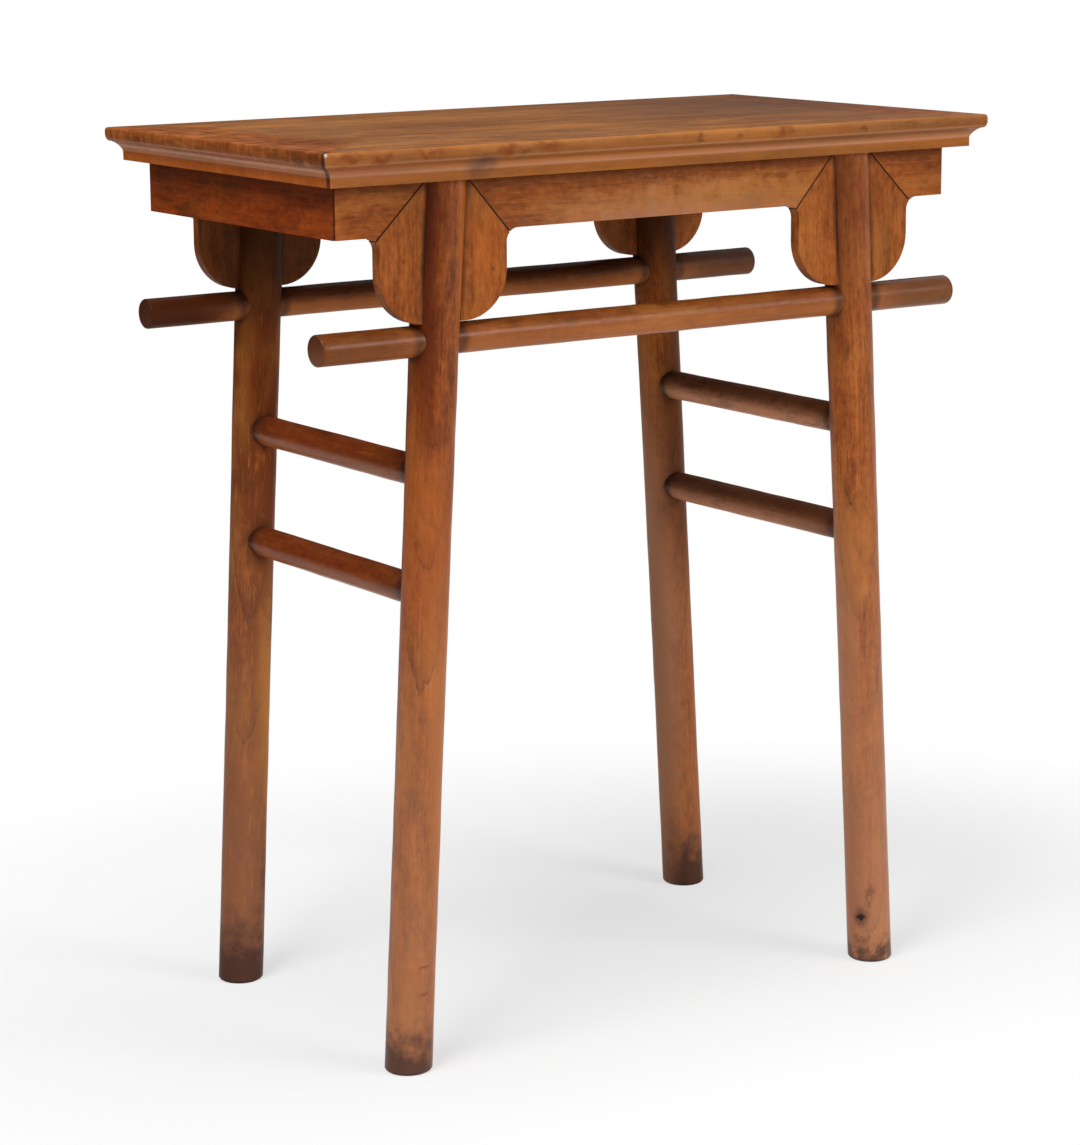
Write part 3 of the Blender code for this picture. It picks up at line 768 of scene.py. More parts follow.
class Bench:
    """The joiner's bench: how forms are drawn, sawn, rounded and turned."""

    @staticmethod
    def whole(form: BMesh) -> list[BMVert | BMEdge | BMFace]:
        """All the points, edges and faces of a form."""
        return form.verts[:] + form.edges[:] + form.faces[:]

    @staticmethod
    def layer(form: BMesh, name: str) -> BMLayerItem:
        """The layer that keeps a number for each face, new or from before."""
        layers = form.faces.layers.float
        return layers.get(name) or layers.new(name)

    @staticmethod
    def swung(form: BMesh, angle: float, axis: str) -> None:
        """Turn a form about an axis through the origin.

        Args:
            form: The form.
            angle: How far it turns.
            axis: The axis.
        """
        bmesh.ops.rotate(form, verts=form.verts, matrix=Matrix.Rotation(angle, 3, axis))

    @staticmethod
    def outline(points: Sequence[Point], depth: float) -> tuple[BMesh, list[BMVert]]:
        """Draw a flat outline in the X Z plane.

        Args:
            points: Its corners, in order.
            depth: Its place along Y.

        Returns:
            The form and its corners.
        """
        form = bmesh.new()
        corners = [form.verts.new((x, depth, z)) for x, z in points]
        form.faces.new(corners)
        return form, corners

    @staticmethod
    def box(low: Triple, high: Triple) -> BMesh:
        """A box between two opposite corners.

        Args:
            low: The lowest corner.
            high: The highest corner.

        Returns:
            The form.
        """
        form = bmesh.new()
        bmesh.ops.create_cube(form, size=1.0)
        bmesh.ops.scale(form, verts=form.verts, vec=Vector(high) - Vector(low))
        bmesh.ops.translate(form, verts=form.verts, vec=(Vector(high) + Vector(low)) / 2)
        return form

    @staticmethod
    def turned(profile: Sequence[Point]) -> BMesh:
        """Turn a profile about Z.

        Args:
            profile: Its points as radius and height, from one pole to the other.

        Returns:
            The closed form.
        """
        form = bmesh.new()
        points = [form.verts.new((radius, 0.0, height)) for radius, height in profile]
        line = [form.edges.new(pair) for pair in zip(points, points[1:])]
        bmesh.ops.spin(
            form,
            geom=points + line,
            cent=(0.0, 0.0, 0.0),
            axis=(0.0, 0.0, 1.0),
            angle=math.tau,
            steps=TURNING_STEPS,
            use_merge=True,
        )
        bmesh.ops.remove_doubles(form, verts=form.verts, dist=WELD_DISTANCE)
        bmesh.ops.recalc_face_normals(form, faces=form.faces)
        return form

    @staticmethod
    def rounded(form: BMesh, corners: Iterable[BMVert], radius: float) -> None:
        """Round the square corners of a flat outline.

        Args:
            form: The form.
            corners: The corners to round.
            radius: Their radius.
        """
        bmesh.ops.bevel(
            form,
            geom=list(corners),
            offset=radius,
            segments=ARC_STEPS,
            profile=ROUND,
            affect="VERTICES",
            material=-1,
        )

    @staticmethod
    def thickened(form: BMesh, way: Triple) -> None:
        """Give a flat outline its thickness.

        Args:
            form: The form.
            way: How far and which way it is drawn out.
        """
        drawn = bmesh.ops.extrude_face_region(form, geom=form.faces[:])
        moved = [part for part in drawn["geom"] if isinstance(part, BMVert)]
        bmesh.ops.translate(form, verts=moved, vec=way)
        bmesh.ops.recalc_face_normals(form, faces=form.faces)

    @staticmethod
    def sawn(form: BMesh, point: Triple, waste: Triple) -> None:
        """Saw a form off along a plane.

        Args:
            form: The form, flat or solid.
            point: A point on the plane.
            waste: The way to the part that falls off.
        """
        bmesh.ops.bisect_plane(
            form,
            geom=Bench.whole(form),
            dist=WELD_DISTANCE,
            plane_co=point,
            plane_no=waste,
            clear_outer=True,
        )
        if any(edge.is_manifold for edge in form.edges):
            bmesh.ops.holes_fill(form, edges=[edge for edge in form.edges if edge.is_boundary], sides=0)

    @staticmethod
    def eased(form: BMesh, edges: Iterable[BMEdge], width: float, look: Edge, steps: int = 2) -> None:
        """Take the sharpness off some arrises.

        Args:
            form: The form.
            edges: The arrises.
            width: How wide the easing is.
            look: How it has worn.
            steps: How many facets it has.
        """
        layer = Bench.layer(form, WEAR_AND_SHEEN)
        made = bmesh.ops.bevel(
            form,
            geom=list(edges),
            offset=width,
            segments=steps,
            profile=ROUND,
            affect="EDGES",
            material=-1,
            clamp_overlap=True,
        )
        for face in made["faces"]:
            face[layer] = look.value

    @staticmethod
    def board_eased(form: BMesh, seams: Sequence[Seam]) -> None:
        """Ease a board's arrises: fine dark lines at its seams, and soft edges elsewhere.

        Args:
            form: The board.
            seams: A point and the way out of each sawn face.
        """

        def on_seam(edge: BMEdge) -> bool:
            """Whether an arris lies in one of the sawn faces."""
            for point, out in seams:
                way = Vector(out).normalized()
                if all(abs((vert.co - Vector(point)).dot(way)) < MERGE_DISTANCE for vert in edge.verts):
                    return True
            return False

        sharp = [edge for edge in form.edges if edge.calc_face_angle(0.0) > ARRIS_ANGLE]
        at_seams = [edge for edge in sharp if on_seam(edge)]
        elsewhere = [edge for edge in sharp if not on_seam(edge)]
        Bench.eased(form, at_seams, SEAM_EASING, Edge.SEAM)
        left = [edge for edge in elsewhere if edge.is_valid]
        if left:
            Bench.eased(form, left, BOARD_EASING, Edge.PLAIN)

    @staticmethod
    def used(form: BMesh, low: Triple, high: Triple, wear_and_sheen: float, polish: float) -> None:
        """Note on the faces within a box how far they are worn bright or lightened by a painted sheen, and
        how far they are polished.

        Args:
            form: The form.
            low: The box's low corner.
            high: The box's high corner.
            wear_and_sheen: How far the faces are worn bright, and on the hollows how far a painted sheen
                lightens them.
            polish: How far they are polished.
        """
        worn = Bench.layer(form, WEAR_AND_SHEEN)
        shiny = Bench.layer(form, POLISH)
        for face in form.faces:
            centre = face.calc_center_median()
            if all(least < place < most for least, place, most in zip(low, centre, high)):
                face[worn] = wear_and_sheen
                face[shiny] = polish

    @staticmethod
    def worked(form: BMesh, depth: float, spots: float, seed: float, beyond: float = -math.inf) -> None:
        """Leave the slight unevenness of hand work on a surface.

        Args:
            form: The form.
            depth: How far a point may move.
            spots: How many hollows there are to a metre.
            seed: Which unevenness it is.
            beyond: How far along X the worked part begins.
        """
        form.normal_update()
        shift = Vector([seed * step for step in SEED_STEPS])
        moves = [vert.normal * depth * noise.noise(vert.co * spots + shift) for vert in form.verts]
        for vert, move in zip(form.verts, moves):
            if vert.co.x > beyond:
                vert.co += Vector((move.x, move.y, 0.0))

    @staticmethod
    def mirrored(form: BMesh, end: End, side: Side) -> None:
        """Carry a form from the corner at +X +Y to another one.

        Args:
            form: The form.
            end: The short end that it goes to.
            side: The long side that it goes to.
        """
        bmesh.ops.scale(form, verts=form.verts, vec=(end.value, side.value, 1.0))
        bmesh.ops.recalc_face_normals(form, faces=form.faces)


@dataclass
class Bar:
    """A round bar along Z with eased ends."""

    radius: float
    length: float
    easing: float
    cuts: int
    easing_steps: int = 4

    def form(self) -> BMesh:
        """Make the bar.

        Returns:
            The form, with its middle at the origin.
        """
        form = bmesh.new()
        bmesh.ops.create_cone(
            form,
            cap_ends=True,
            segments=TURNING_STEPS,
            radius1=self.radius,
            radius2=self.radius,
            depth=self.length,
        )
        rims = [edge for edge in form.edges if edge.verts[0].co.z * edge.verts[1].co.z > 0]
        Bench.eased(form, rims, self.easing, Edge.PLAIN, self.easing_steps)
        sides = [edge for edge in form.edges if edge.calc_length() > self.length / 2]
        bmesh.ops.subdivide_edges(form, edges=sides, cuts=self.cuts, use_grid_fill=True)
        return form


@dataclass
class Tool:
    """A form that cuts a piece or joins it."""

    form: BMesh
    joint: Joint


class Assembly:
    """What every sub-assembly does with a form that is ready."""

    def mesh(self, name: str, form: BMesh) -> bpy.types.Mesh:
        """Turn a form into a mesh.

        Args:
            name: The mesh's name.
            form: The form, which is used up.

        Returns:
            The mesh.
        """
        mesh = bpy.data.meshes.new(name)
        form.to_mesh(mesh)
        form.free()
        return mesh

    def joined(self, piece: bpy.types.Object, tools: Sequence[Tool]) -> None:
        """Cut a piece's joints.

        Args:
            piece: The piece.
            tools: What cuts it or joins it, in order.
        """
        helpers = []
        for tool in tools:
            helper = bpy.data.objects.new("joint_tool", self.mesh("joint_tool", tool.form))
            bpy.context.scene.collection.objects.link(helper)
            helpers.append(helper)
            modifier = piece.modifiers.new("joint", "BOOLEAN")
            modifier.operation = tool.joint.value
            modifier.solver = "EXACT"
            modifier.object = helper
        graph = bpy.context.evaluated_depsgraph_get()
        cut = bpy.data.meshes.new_from_object(piece.evaluated_get(graph))
        piece.modifiers.clear()
        piece.data = cut
        for helper in helpers:
            bpy.data.objects.remove(helper)

    def deliver(self, node: str, form: BMesh, wood: Walnut, tools: Sequence[Tool] = ()) -> None:
        """Make a finished piece of a form and set it in the place of its solid.

        Args:
            node: The solid that the piece stands for.
            form: The piece's form, which is used up.
            wood: What the piece is dressed in.
            tools: What cuts its joints.
        """
        piece = bpy.data.objects.new(f"{node}_finished", self.mesh(node, form))
        bpy.context.scene.collection.objects.link(piece)
        if tools:
            self.joined(piece, tools)
        clean = bmesh.new()
        clean.from_mesh(piece.data)
        bmesh.ops.remove_doubles(clean, verts=clean.verts, dist=WELD_DISTANCE)
        bmesh.ops.recalc_face_normals(clean, faces=clean.faces)
        clean.to_mesh(piece.data)
        clean.free()
        piece.data.shade_smooth()
        piece.data.set_sharp_from_angle(angle=SHARP_ANGLE)
        piece.data.materials.clear()
        piece.data.materials.append(wood.material(f"{node}_walnut"))
        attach(piece, "root")
        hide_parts(node)
        log.info("%s: %d faces", piece.name, len(piece.data.polygons))


# Finishes
TOP_WOOD = WoodFinish(
    slot="top_wood",
    dark=(0.072, 0.025, 0.009),
    body=(0.164, 0.064, 0.022),
    light=(0.262, 0.124, 0.048),
    worn=(0.40, 0.124, 0.019),
    roughness=0.50,
    specular=0.07,
    streak_depth=0.30,
    mottle_depth=0.50,
    blotch_depth=0.85,
    stain_depth=0.35,
)
END_RAIL_WOOD = replace(
    TOP_WOOD,
    dark=(0.066, 0.016, 0.004),
    body=(0.180, 0.050, 0.012),
    light=(0.310, 0.096, 0.025),
    worn=(0.440, 0.105, 0.018),
    stain=(0.050, 0.013, 0.004),
    figure_depth=2.3,
    mottle_depth=1.00,
    gold_depth=0.25,
    stain_depth=0.60,
)
LEG_WOOD = WoodFinish(
    slot="leg_wood",
    dark=(0.130, 0.028, 0.006),
    body=(0.300, 0.076, 0.014),
    light=(0.430, 0.140, 0.032),
    roughness=0.34,
    specular=0.14,
    fibre_depth=0.80,
    streak_depth=0.70,
    mottle_depth=1.00,
    grit_depth=0.85,
    vein_depth=0.90,
    pore_depth=0.50,
    stain_depth=0.34,
)
BACK_LEG_WOOD = replace(LEG_WOOD, roughness=0.40, specular=0.05)
BOARD_WOOD = WoodFinish(
    slot="board_wood",
    dark=(0.120, 0.026, 0.005),
    body=(0.285, 0.072, 0.012),
    light=(0.430, 0.136, 0.028),
    roughness=0.50,
    specular=0.08,
    fibre_depth=0.34,
    streak_depth=0.50,
    mottle_depth=1.20,
    grit_depth=0.80,
    pore_depth=0.45,
    stain_depth=0.46,
)
# A darker, redder copy of the board wood for the end aprons: partly a painted shade of the top's overhang
SHADED_END_WOOD = replace(
    BOARD_WOOD,
    dark=(0.100, 0.016, 0.002),
    body=(0.235, 0.038, 0.004),
    light=(0.330, 0.062, 0.008),
    gold_depth=0.10,
    fleck_depth=0.15,
    specular=0.08,
)
BAR_WOOD = WoodFinish(
    slot="bar_wood",
    dark=(0.070, 0.017, 0.005),
    body=(0.215, 0.054, 0.011),
    light=(0.330, 0.105, 0.025),
    roughness=0.34,
    specular=0.16,
    fibre_depth=0.55,
    streak_depth=0.60,
    pore_depth=0.45,
)
FRONT_BAR_WOOD = replace(BAR_WOOD, roughness=0.28, specular=0.10)
BACK_BAR_WOOD = replace(BAR_WOOD, roughness=0.44, specular=0.08)
# A darker, redder copy of the bar wood for the left rungs: partly painted shade
SHADED_RED_BAR_WOOD = replace(
    BAR_WOOD,
    dark=(0.068, 0.012, 0.002),
    body=(0.155, 0.028, 0.005),
    light=(0.245, 0.056, 0.011),
    gold=(0.260, 0.066, 0.012),
)
# A paler, greyer copy of the bar wood for the right rungs: painted light, with some dust
LIT_PALE_BAR_WOOD = replace(
    BAR_WOOD,
    dark=(0.210, 0.068, 0.025),
    body=(0.460, 0.162, 0.065),
    light=(0.620, 0.250, 0.110),
    gold=(0.620, 0.250, 0.100),
    roughness=0.44,
    specular=0.12,
)
BRACE_WOOD = WoodFinish(
    slot="brace_wood",
    dark=(0.080, 0.030, 0.013),
    body=(0.150, 0.060, 0.026),
    light=(0.230, 0.100, 0.045),
    roughness=0.55,
    specular=0.15,
)

# Colours of the marks: stains, dirt and worn places that growth and use have left, and painted light and
# shade
# Dirt, and painted shade in recesses, beside joints and on sides the table shades
DIRT_AND_SHADE = (0.018, 0.008, 0.005)
# Stains, dents and scuffs, and painted shade
SHADE = (0.066, 0.015, 0.004)
WARM = (0.300, 0.058, 0.008)
RED = (0.170, 0.032, 0.007)
GREY_STAIN = (0.072, 0.036, 0.025)
FOOT_STAIN = (0.090, 0.040, 0.030)
# Dust, and painted light where the floor and lamps light the table
DUST_AND_LIGHT = (0.460, 0.212, 0.115)
# Golden tone and worn edges, and painted light on a leg's flank and the aprons
GOLD = (0.480, 0.190, 0.045)
PALE = (0.760, 0.690, 0.610)
# A painted highlight along the left rail's hollow
HOLLOW_HIGHLIGHT = (0.600, 0.360, 0.230)
ROSE = (0.300, 0.095, 0.048)
# A painted highlight on a leg, and a lighter patch on a spandrel
GLOW = (0.470, 0.120, 0.014)
# Dark red painted shade on the legs
DEEP_RED = (0.080, 0.010, 0.001)
# Painted shade on the back legs' heads, under the top
HEAD_SHADE = (0.034, 0.010, 0.003)
# Darker stretcher ends: dirt, with painted shade under the top
TIP_SHADE = (0.052, 0.022, 0.012)
# Painted shade on sides turned away from the light
LEE_SHADE = (0.045, 0.014, 0.005)
# Painted light on sides that face the light
PAINTED_LIGHT = (0.460, 0.158, 0.047)

# Directions of the grain
ALONG_X = (0.0, math.pi / 2, 0.0)
ALONG_Y = (-math.pi / 2, 0.0, 0.0)
UPRIGHT = (0.0, 0.0, 0.0)


@dataclass(frozen=True)
class BarShading:
    """Painted shade on a bar's upper side and painted light on its lower side, which the floor lights."""

    above: Colour
    above_strength: float
    below: Colour
    below_strength: float
    above_reach: float = 1.5
    below_reach: float = 1.5
    softness: float = 0.8

    def marks(self, middle: Triple, radius: float) -> tuple[Mark, ...]:
        """The marks of one bar.

        Args:
            middle: The bar's middle.
            radius: The bar's radius.

        Returns:
            The painted shade above and the painted light below, along the whole bar.
        """
        x, y, z = middle
        sides = (
            (z + radius, self.above_reach, self.above, self.above_strength),
            (z - radius, self.below_reach, self.below, self.below_strength),
        )
        return tuple(
            Mark.band((x, y, height), reach * radius, colour, strength, self.softness)
            for height, reach, colour, strength in sides
        )


@dataclass
class TableTop(Assembly):
    """The mitred frame with its moulded edge, the floating panel and the braces below."""

    sizes: TableFrame
    nose_height: float = 0.0128
    nose_depth: float = 0.0032
    nose_step: float = 0.0007
    nose_roundness: Point = (0.60, 1.00)
    hollow_sag: float = 0.0012
    fillet_height: float = 0.0087
    fillet_inset: float = 0.0122
    tongue_drop: float = 0.004
    tongue_thickness: float = 0.006
    tongue_reach: float = 0.0075
    panel_thickness: float = 0.013
    clearance: float = 0.0003
    mitre_easing: float = 0.0008
    panel_easing: float = 0.0006
    # Brightening of the nose, hollow and fillet; the hollow's share is a painted reflection
    front_wear_and_sheen: Triple = (0.40, 0.90, 0.65)
    end_wear_and_sheen: Triple = (0.18, 0.70, 0.62)
    long_polish: float = 0.45
    end_polish: float = 0.10
    red_patches: tuple[Point, ...] = (
        (-0.345, 0.026),
        (-0.312, 0.018),
        (-0.262, 0.024),
        (-0.185, 0.016),
        (-0.14, 0.024),
        (0.12, 0.02),
    )
    patch_drop: float = 0.005
    dents: tuple[Triple, ...] = (
        (-0.165, 0.010, 0.006),
        (0.024, 0.007, 0.005),
        (0.069, 0.006, 0.005),
        (0.215, 0.007, 0.004),
    )
    dent_drop: float = 0.007
    unevenness: float = 0.0005
    work_spots: float = 42.0
    work_seed: float = 5.0
    rail_seed: float = 11.0
    panel_seed: float = 2.5
    panel_pith: Point = (0.12, 0.05)
    brace_seed: float = 40.0
    length_cuts: int = 90

    def build(self) -> None:
        """Make the four rails, the panel and the braces' finish."""
        for side in Side:
            self.rail(f"top_rail_{side.word}", side)
        for end in End:
            self.rail(f"top_rail_{end.word}", end)
        self.panel()
        for end in End:
            self.brace(end)

    def moulding(self) -> list[Point]:
        """The rail's section.

        Returns:
            Points as inset from the outer edge and height, from the top's edge round.
        """
        sizes = self.sizes
        nose_base = sizes.height - self.nose_height
        points = []
        for step in range(ARC_STEPS + 1):
            angle = math.pi / 2 - math.pi * step / ARC_STEPS
            power = self.nose_roundness[0] if angle > 0 else self.nose_roundness[1]
            rise = math.copysign(abs(math.sin(angle)) ** power, angle)
            out = max(math.cos(angle), 0.0) ** power
            points.append((self.nose_depth * (1 - out), nose_base + self.nose_height * (1 + rise) / 2))
        start = Vector((self.nose_depth + self.nose_step, nose_base))
        end = Vector((self.fillet_inset, sizes.underside + self.fillet_height))
        across = Vector((start.y - end.y, end.x - start.x)).normalized()
        for step in range(ARC_STEPS + 1):
            share = step / ARC_STEPS
            sag = 4 * self.hollow_sag * share * (1 - share)
            points.append(tuple(start.lerp(end, share) + across * sag))
        groove_top = sizes.height - self.tongue_drop + self.clearance
        groove_bottom = groove_top - self.tongue_thickness - 2 * self.clearance
        groove_back = sizes.frame_width - self.tongue_reach - self.clearance
        points += [
            (self.fillet_inset, sizes.underside),
            (sizes.frame_width, sizes.underside),
            (sizes.frame_width, groove_bottom),
            (groove_back, groove_bottom),
            (groove_back, groove_top),
            (sizes.frame_width, groove_top),
            (sizes.frame_width, sizes.height),
        ]
        return points

    def rail(self, node: str, place: Side | End) -> None:
        """Make one rail of the frame.

        Args:
            node: The solid that it stands for.
            place: The side or the end that it lies on.
        """
        sizes = self.sizes
        is_long = isinstance(place, Side)
        half, other = sizes.half_length, sizes.half_depth
        if not is_long:
            half, other = other, half
        form, _ = Bench.outline([(other - inset, height) for inset, height in self.moulding()], -half)
        Bench.thickened(form, (0.0, 2 * half, 0.0))
        long_edges = [edge for edge in form.edges if abs(edge.verts[0].co.y - edge.verts[1].co.y) > half]
        bmesh.ops.subdivide_edges(form, edges=long_edges, cuts=self.length_cuts, use_grid_fill=True)
        self.moulding_worn_and_sheened(form, other, place)
        seed = self.work_seed + place.value + 2 * is_long
        Bench.worked(form, self.unevenness, self.work_spots, seed, other - self.fillet_inset - PAST)
        gap = self.clearance / math.sqrt(2)
        for way in (-1, 1):
            Bench.sawn(form, (other, way * (half - gap), 0.0), (-1.0, way, 0.0))
        Bench.eased(form, self.mitre_edges(form, half, other), self.mitre_easing, Edge.SEAM)
        if is_long:
            Bench.swung(form, math.pi / 2, "Z")
        if place.value < 0:
            Bench.swung(form, math.pi, "Z")
        self.deliver(node, form, self.rail_wood(place))

    def rail_wood(self, place: Side | End) -> Walnut:
        """A rail's own walnut, with the marks of the whole top and its own.

        Args:
            place: The side or the end that the rail lies on.

        Returns:
            The walnut.
        """
        sizes = self.sizes
        is_long = isinstance(place, Side)
        outer = sizes.half_depth if is_long else sizes.half_length
        middle = place.value * (outer - sizes.frame_width / 2)
        centre = (0.0, middle, sizes.height) if is_long else (middle, 0.0, sizes.height)
        seed = self.rail_seed + 7 * place.value + 3 * is_long
        cut = Cut(centre, ALONG_X if is_long else ALONG_Y, seed)
        marks = self.top_marks()
        if place is Side.FRONT:
            marks += self.front_marks()
        elif place is End.LEFT:
            marks += self.left_marks()
        return Walnut(TOP_WOOD if is_long else END_RAIL_WOOD, cut, marks)

    def moulding_worn_and_sheened(self, form: BMesh, other: float, place: Side | End) -> None:
        """Rub the moulding's nose and fillet bright, lighten its hollow with a painted reflection, and polish
        the hollow.

        Args:
            form: The rail before its mitres are sawn.
            other: How far out the rail's outer edge is.
            place: The side or the end that it lies on.
        """
        top = self.sizes.height
        nose_base = top - self.nose_height
        fillet_top = self.sizes.underside + self.fillet_height
        # The hollow's share lightens it as a painted reflection
        nose, hollow, fillet = self.front_wear_and_sheen if place is Side.FRONT else self.end_wear_and_sheen
        polish = self.long_polish if isinstance(place, Side) else self.end_polish
        bands = (
            (nose_base, top, nose, 0.0),
            (fillet_top, nose_base, hollow, polish),
            (self.sizes.underside, fillet_top, fillet, 0.0),
        )
        for low, high, wear_and_sheen, shine in bands:
            inner = (other - self.fillet_inset - WELD_DISTANCE, -1.0, low)
            Bench.used(form, inner, (other + PAST, 1.0, high), wear_and_sheen, shine)

    def top_marks(self) -> tuple[Mark, ...]:
        """The stains and the worn places that run over the whole top, painted shade under the nose and
        painted highlights on the moulding's arrises.

        Returns:
            The marks.
        """
        height = self.sizes.height
        nose_base = height - self.nose_height
        fillet_top = self.sizes.underside + self.fillet_height
        corner = (-self.sizes.half_length, -self.sizes.half_depth, height)
        return (
            Mark((0.31, 0.06, height), (0.36, 0.32, 0.030), GREY_STAIN, 0.80, softness=1.0, ragged=0.05),
            Mark((-0.31, -0.085, height), (0.075, 0.055, 0.016), SHADE, 0.55, softness=0.9, ragged=0.05),
            Mark((-0.18, -0.065, height), (0.16, 0.020, 0.016), SHADE, 0.38, softness=0.9, ragged=0.04),
            Mark((-0.05, 0.09, height), (0.22, 0.070, 0.016), GOLD, 0.16, softness=1.0, ragged=0.05),
            Mark((0.12, -0.05, height), (0.16, 0.022, 0.016), SHADE, 0.30, softness=1.0, ragged=0.04),
            Mark(corner, (0.0045, 0.0045, 0.0045), PALE, 0.85),
            # Painted shade in the recess under the nose
            Mark.band((0.0, 0.0, nose_base - 0.0018), 0.0034, DIRT_AND_SHADE, 0.36),
            # Painted highlights on the nose's lower arris and the fillet's top arris
            Mark.band((0.0, 0.0, nose_base + 0.0016), 0.0020, DUST_AND_LIGHT, 0.45),
            Mark.band((0.0, 0.0, fillet_top + 0.0012), 0.0030, DUST_AND_LIGHT, 0.60),
        )

    def front_marks(self) -> tuple[Mark, ...]:
        """The marks on the front rail: a worn golden edge, a dark stain and small dents.

        Returns:
            The marks.
        """
        height = self.sizes.height
        front = -self.sizes.half_depth
        rosy = (-0.33, front, height - 0.020)
        stained = (-0.205, front, height - 0.018)
        marks = [
            Mark((0.0, front, height), (0.60, 0.010, 0.006), GOLD, 0.30, softness=1.0, ragged=0.012),
            Mark(rosy, (0.14, 0.030, 0.016), ROSE, 0.50, softness=1.0, ragged=0.01),
            Mark(stained, (0.026, 0.035, 0.018), GREY_STAIN, 0.85, softness=1.0, ragged=0.02),
        ]
        for x, wide in self.red_patches:
            patch = (x, front, height - self.patch_drop)
            marks.append(Mark(patch, (wide, 0.012, 0.008), RED, 0.80, softness=1.0, ragged=0.03))
        for x, wide, tall in self.dents:
            dent = (x, front, height - self.dent_drop)
            marks.append(Mark(dent, (wide, 0.006, tall), SHADE, 0.60, softness=1.0, ragged=0.022))
        return tuple(marks)

    def left_marks(self) -> tuple[Mark, ...]:
        """The marks on the left rail: a dark front corner, its open mitre and a painted highlight in the
        hollow.

        Returns:
            The marks.
        """
        left = -self.sizes.half_length
        front = -self.sizes.half_depth
        height = self.sizes.height
        corner = (left, -0.175, height - 0.008)
        hollow = (left, 0.0, height - 0.0168)
        mitre = (left + 0.006, front + 0.009, height - 0.018)
        along_mitre = (0.0, 0.0, -math.pi / 4)
        return (
            Mark(corner, (0.006, 0.14, 0.012), SHADE, 0.70, softness=1.0, ragged=0.02),
            # Painted highlight along the hollow
            Mark(hollow, (0.05, EVERYWHERE, 0.0032), HOLLOW_HIGHLIGHT, 0.55, softness=1.0, ragged=0.003),
            Mark(mitre, (0.0034, 0.030, 0.034), DIRT_AND_SHADE, 0.78, softness=0.6, ragged=0.003, turn=along_mitre),
        )

    def mitre_edges(self, form: BMesh, half: float, other: float) -> list[BMEdge]:
        """The arrises of a rail's two mitres.

        Args:
            form: The sawn rail.
            half: Half the rail's length.
            other: How far out the rail's outer edge is.

        Returns:
            The arrises that show.
        """
        slack = 2 * self.clearance

        def on_mitre(vert: BMVert) -> bool:
            """Whether a point lies on one of the mitres."""
            return abs((half - abs(vert.co.y)) - (other - vert.co.x)) < slack

        return [edge for edge in form.edges if on_mitre(edge.verts[0]) and on_mitre(edge.verts[1])]

    def panel(self) -> None:
        """Make the floating panel with its tongues."""
        sizes = self.sizes
        half_x = sizes.half_length - sizes.frame_width - self.clearance
        half_y = sizes.half_depth - sizes.frame_width - self.clearance
        low = (-half_x, -half_y, sizes.height - self.panel_thickness)
        body = Bench.box(low, (half_x, half_y, sizes.height))
        top = sizes.height - WELD_DISTANCE
        rim = [edge for edge in body.edges if all(vert.co.z > top for vert in edge.verts)]
        Bench.eased(body, rim, self.panel_easing, Edge.SEAM)
        tongue_top = sizes.height - self.tongue_drop
        reach_x = half_x + self.tongue_reach
        reach_y = half_y + self.tongue_reach
        low = (-reach_x, -reach_y, tongue_top - self.tongue_thickness)
        tongues = Bench.box(low, (reach_x, reach_y, tongue_top))
        cut = Cut((0.0, 0.0, sizes.height), ALONG_X, self.panel_seed, pith=self.panel_pith)
        self.deliver("top_panel", body, Walnut(TOP_WOOD, cut, self.top_marks()), [Tool(tongues, Joint.JOIN)])

    def brace(self, end: End) -> None:
        """Finish one brace's solid, whose shape is right as it is.

        Args:
            end: The end that the brace is nearer to.
        """
        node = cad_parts[f"panel_brace_{end.word}"]
        low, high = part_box(f"panel_brace_{end.word}")
        cut = Cut(tuple((low + high) / 2), ALONG_Y, self.brace_seed + end.value)
        node.data.materials.clear()
        node.data.materials.append(Walnut(BRACE_WOOD, cut).material(f"{node.name}_walnut"))
        log.info("%s: new finish on its solid", node.name)


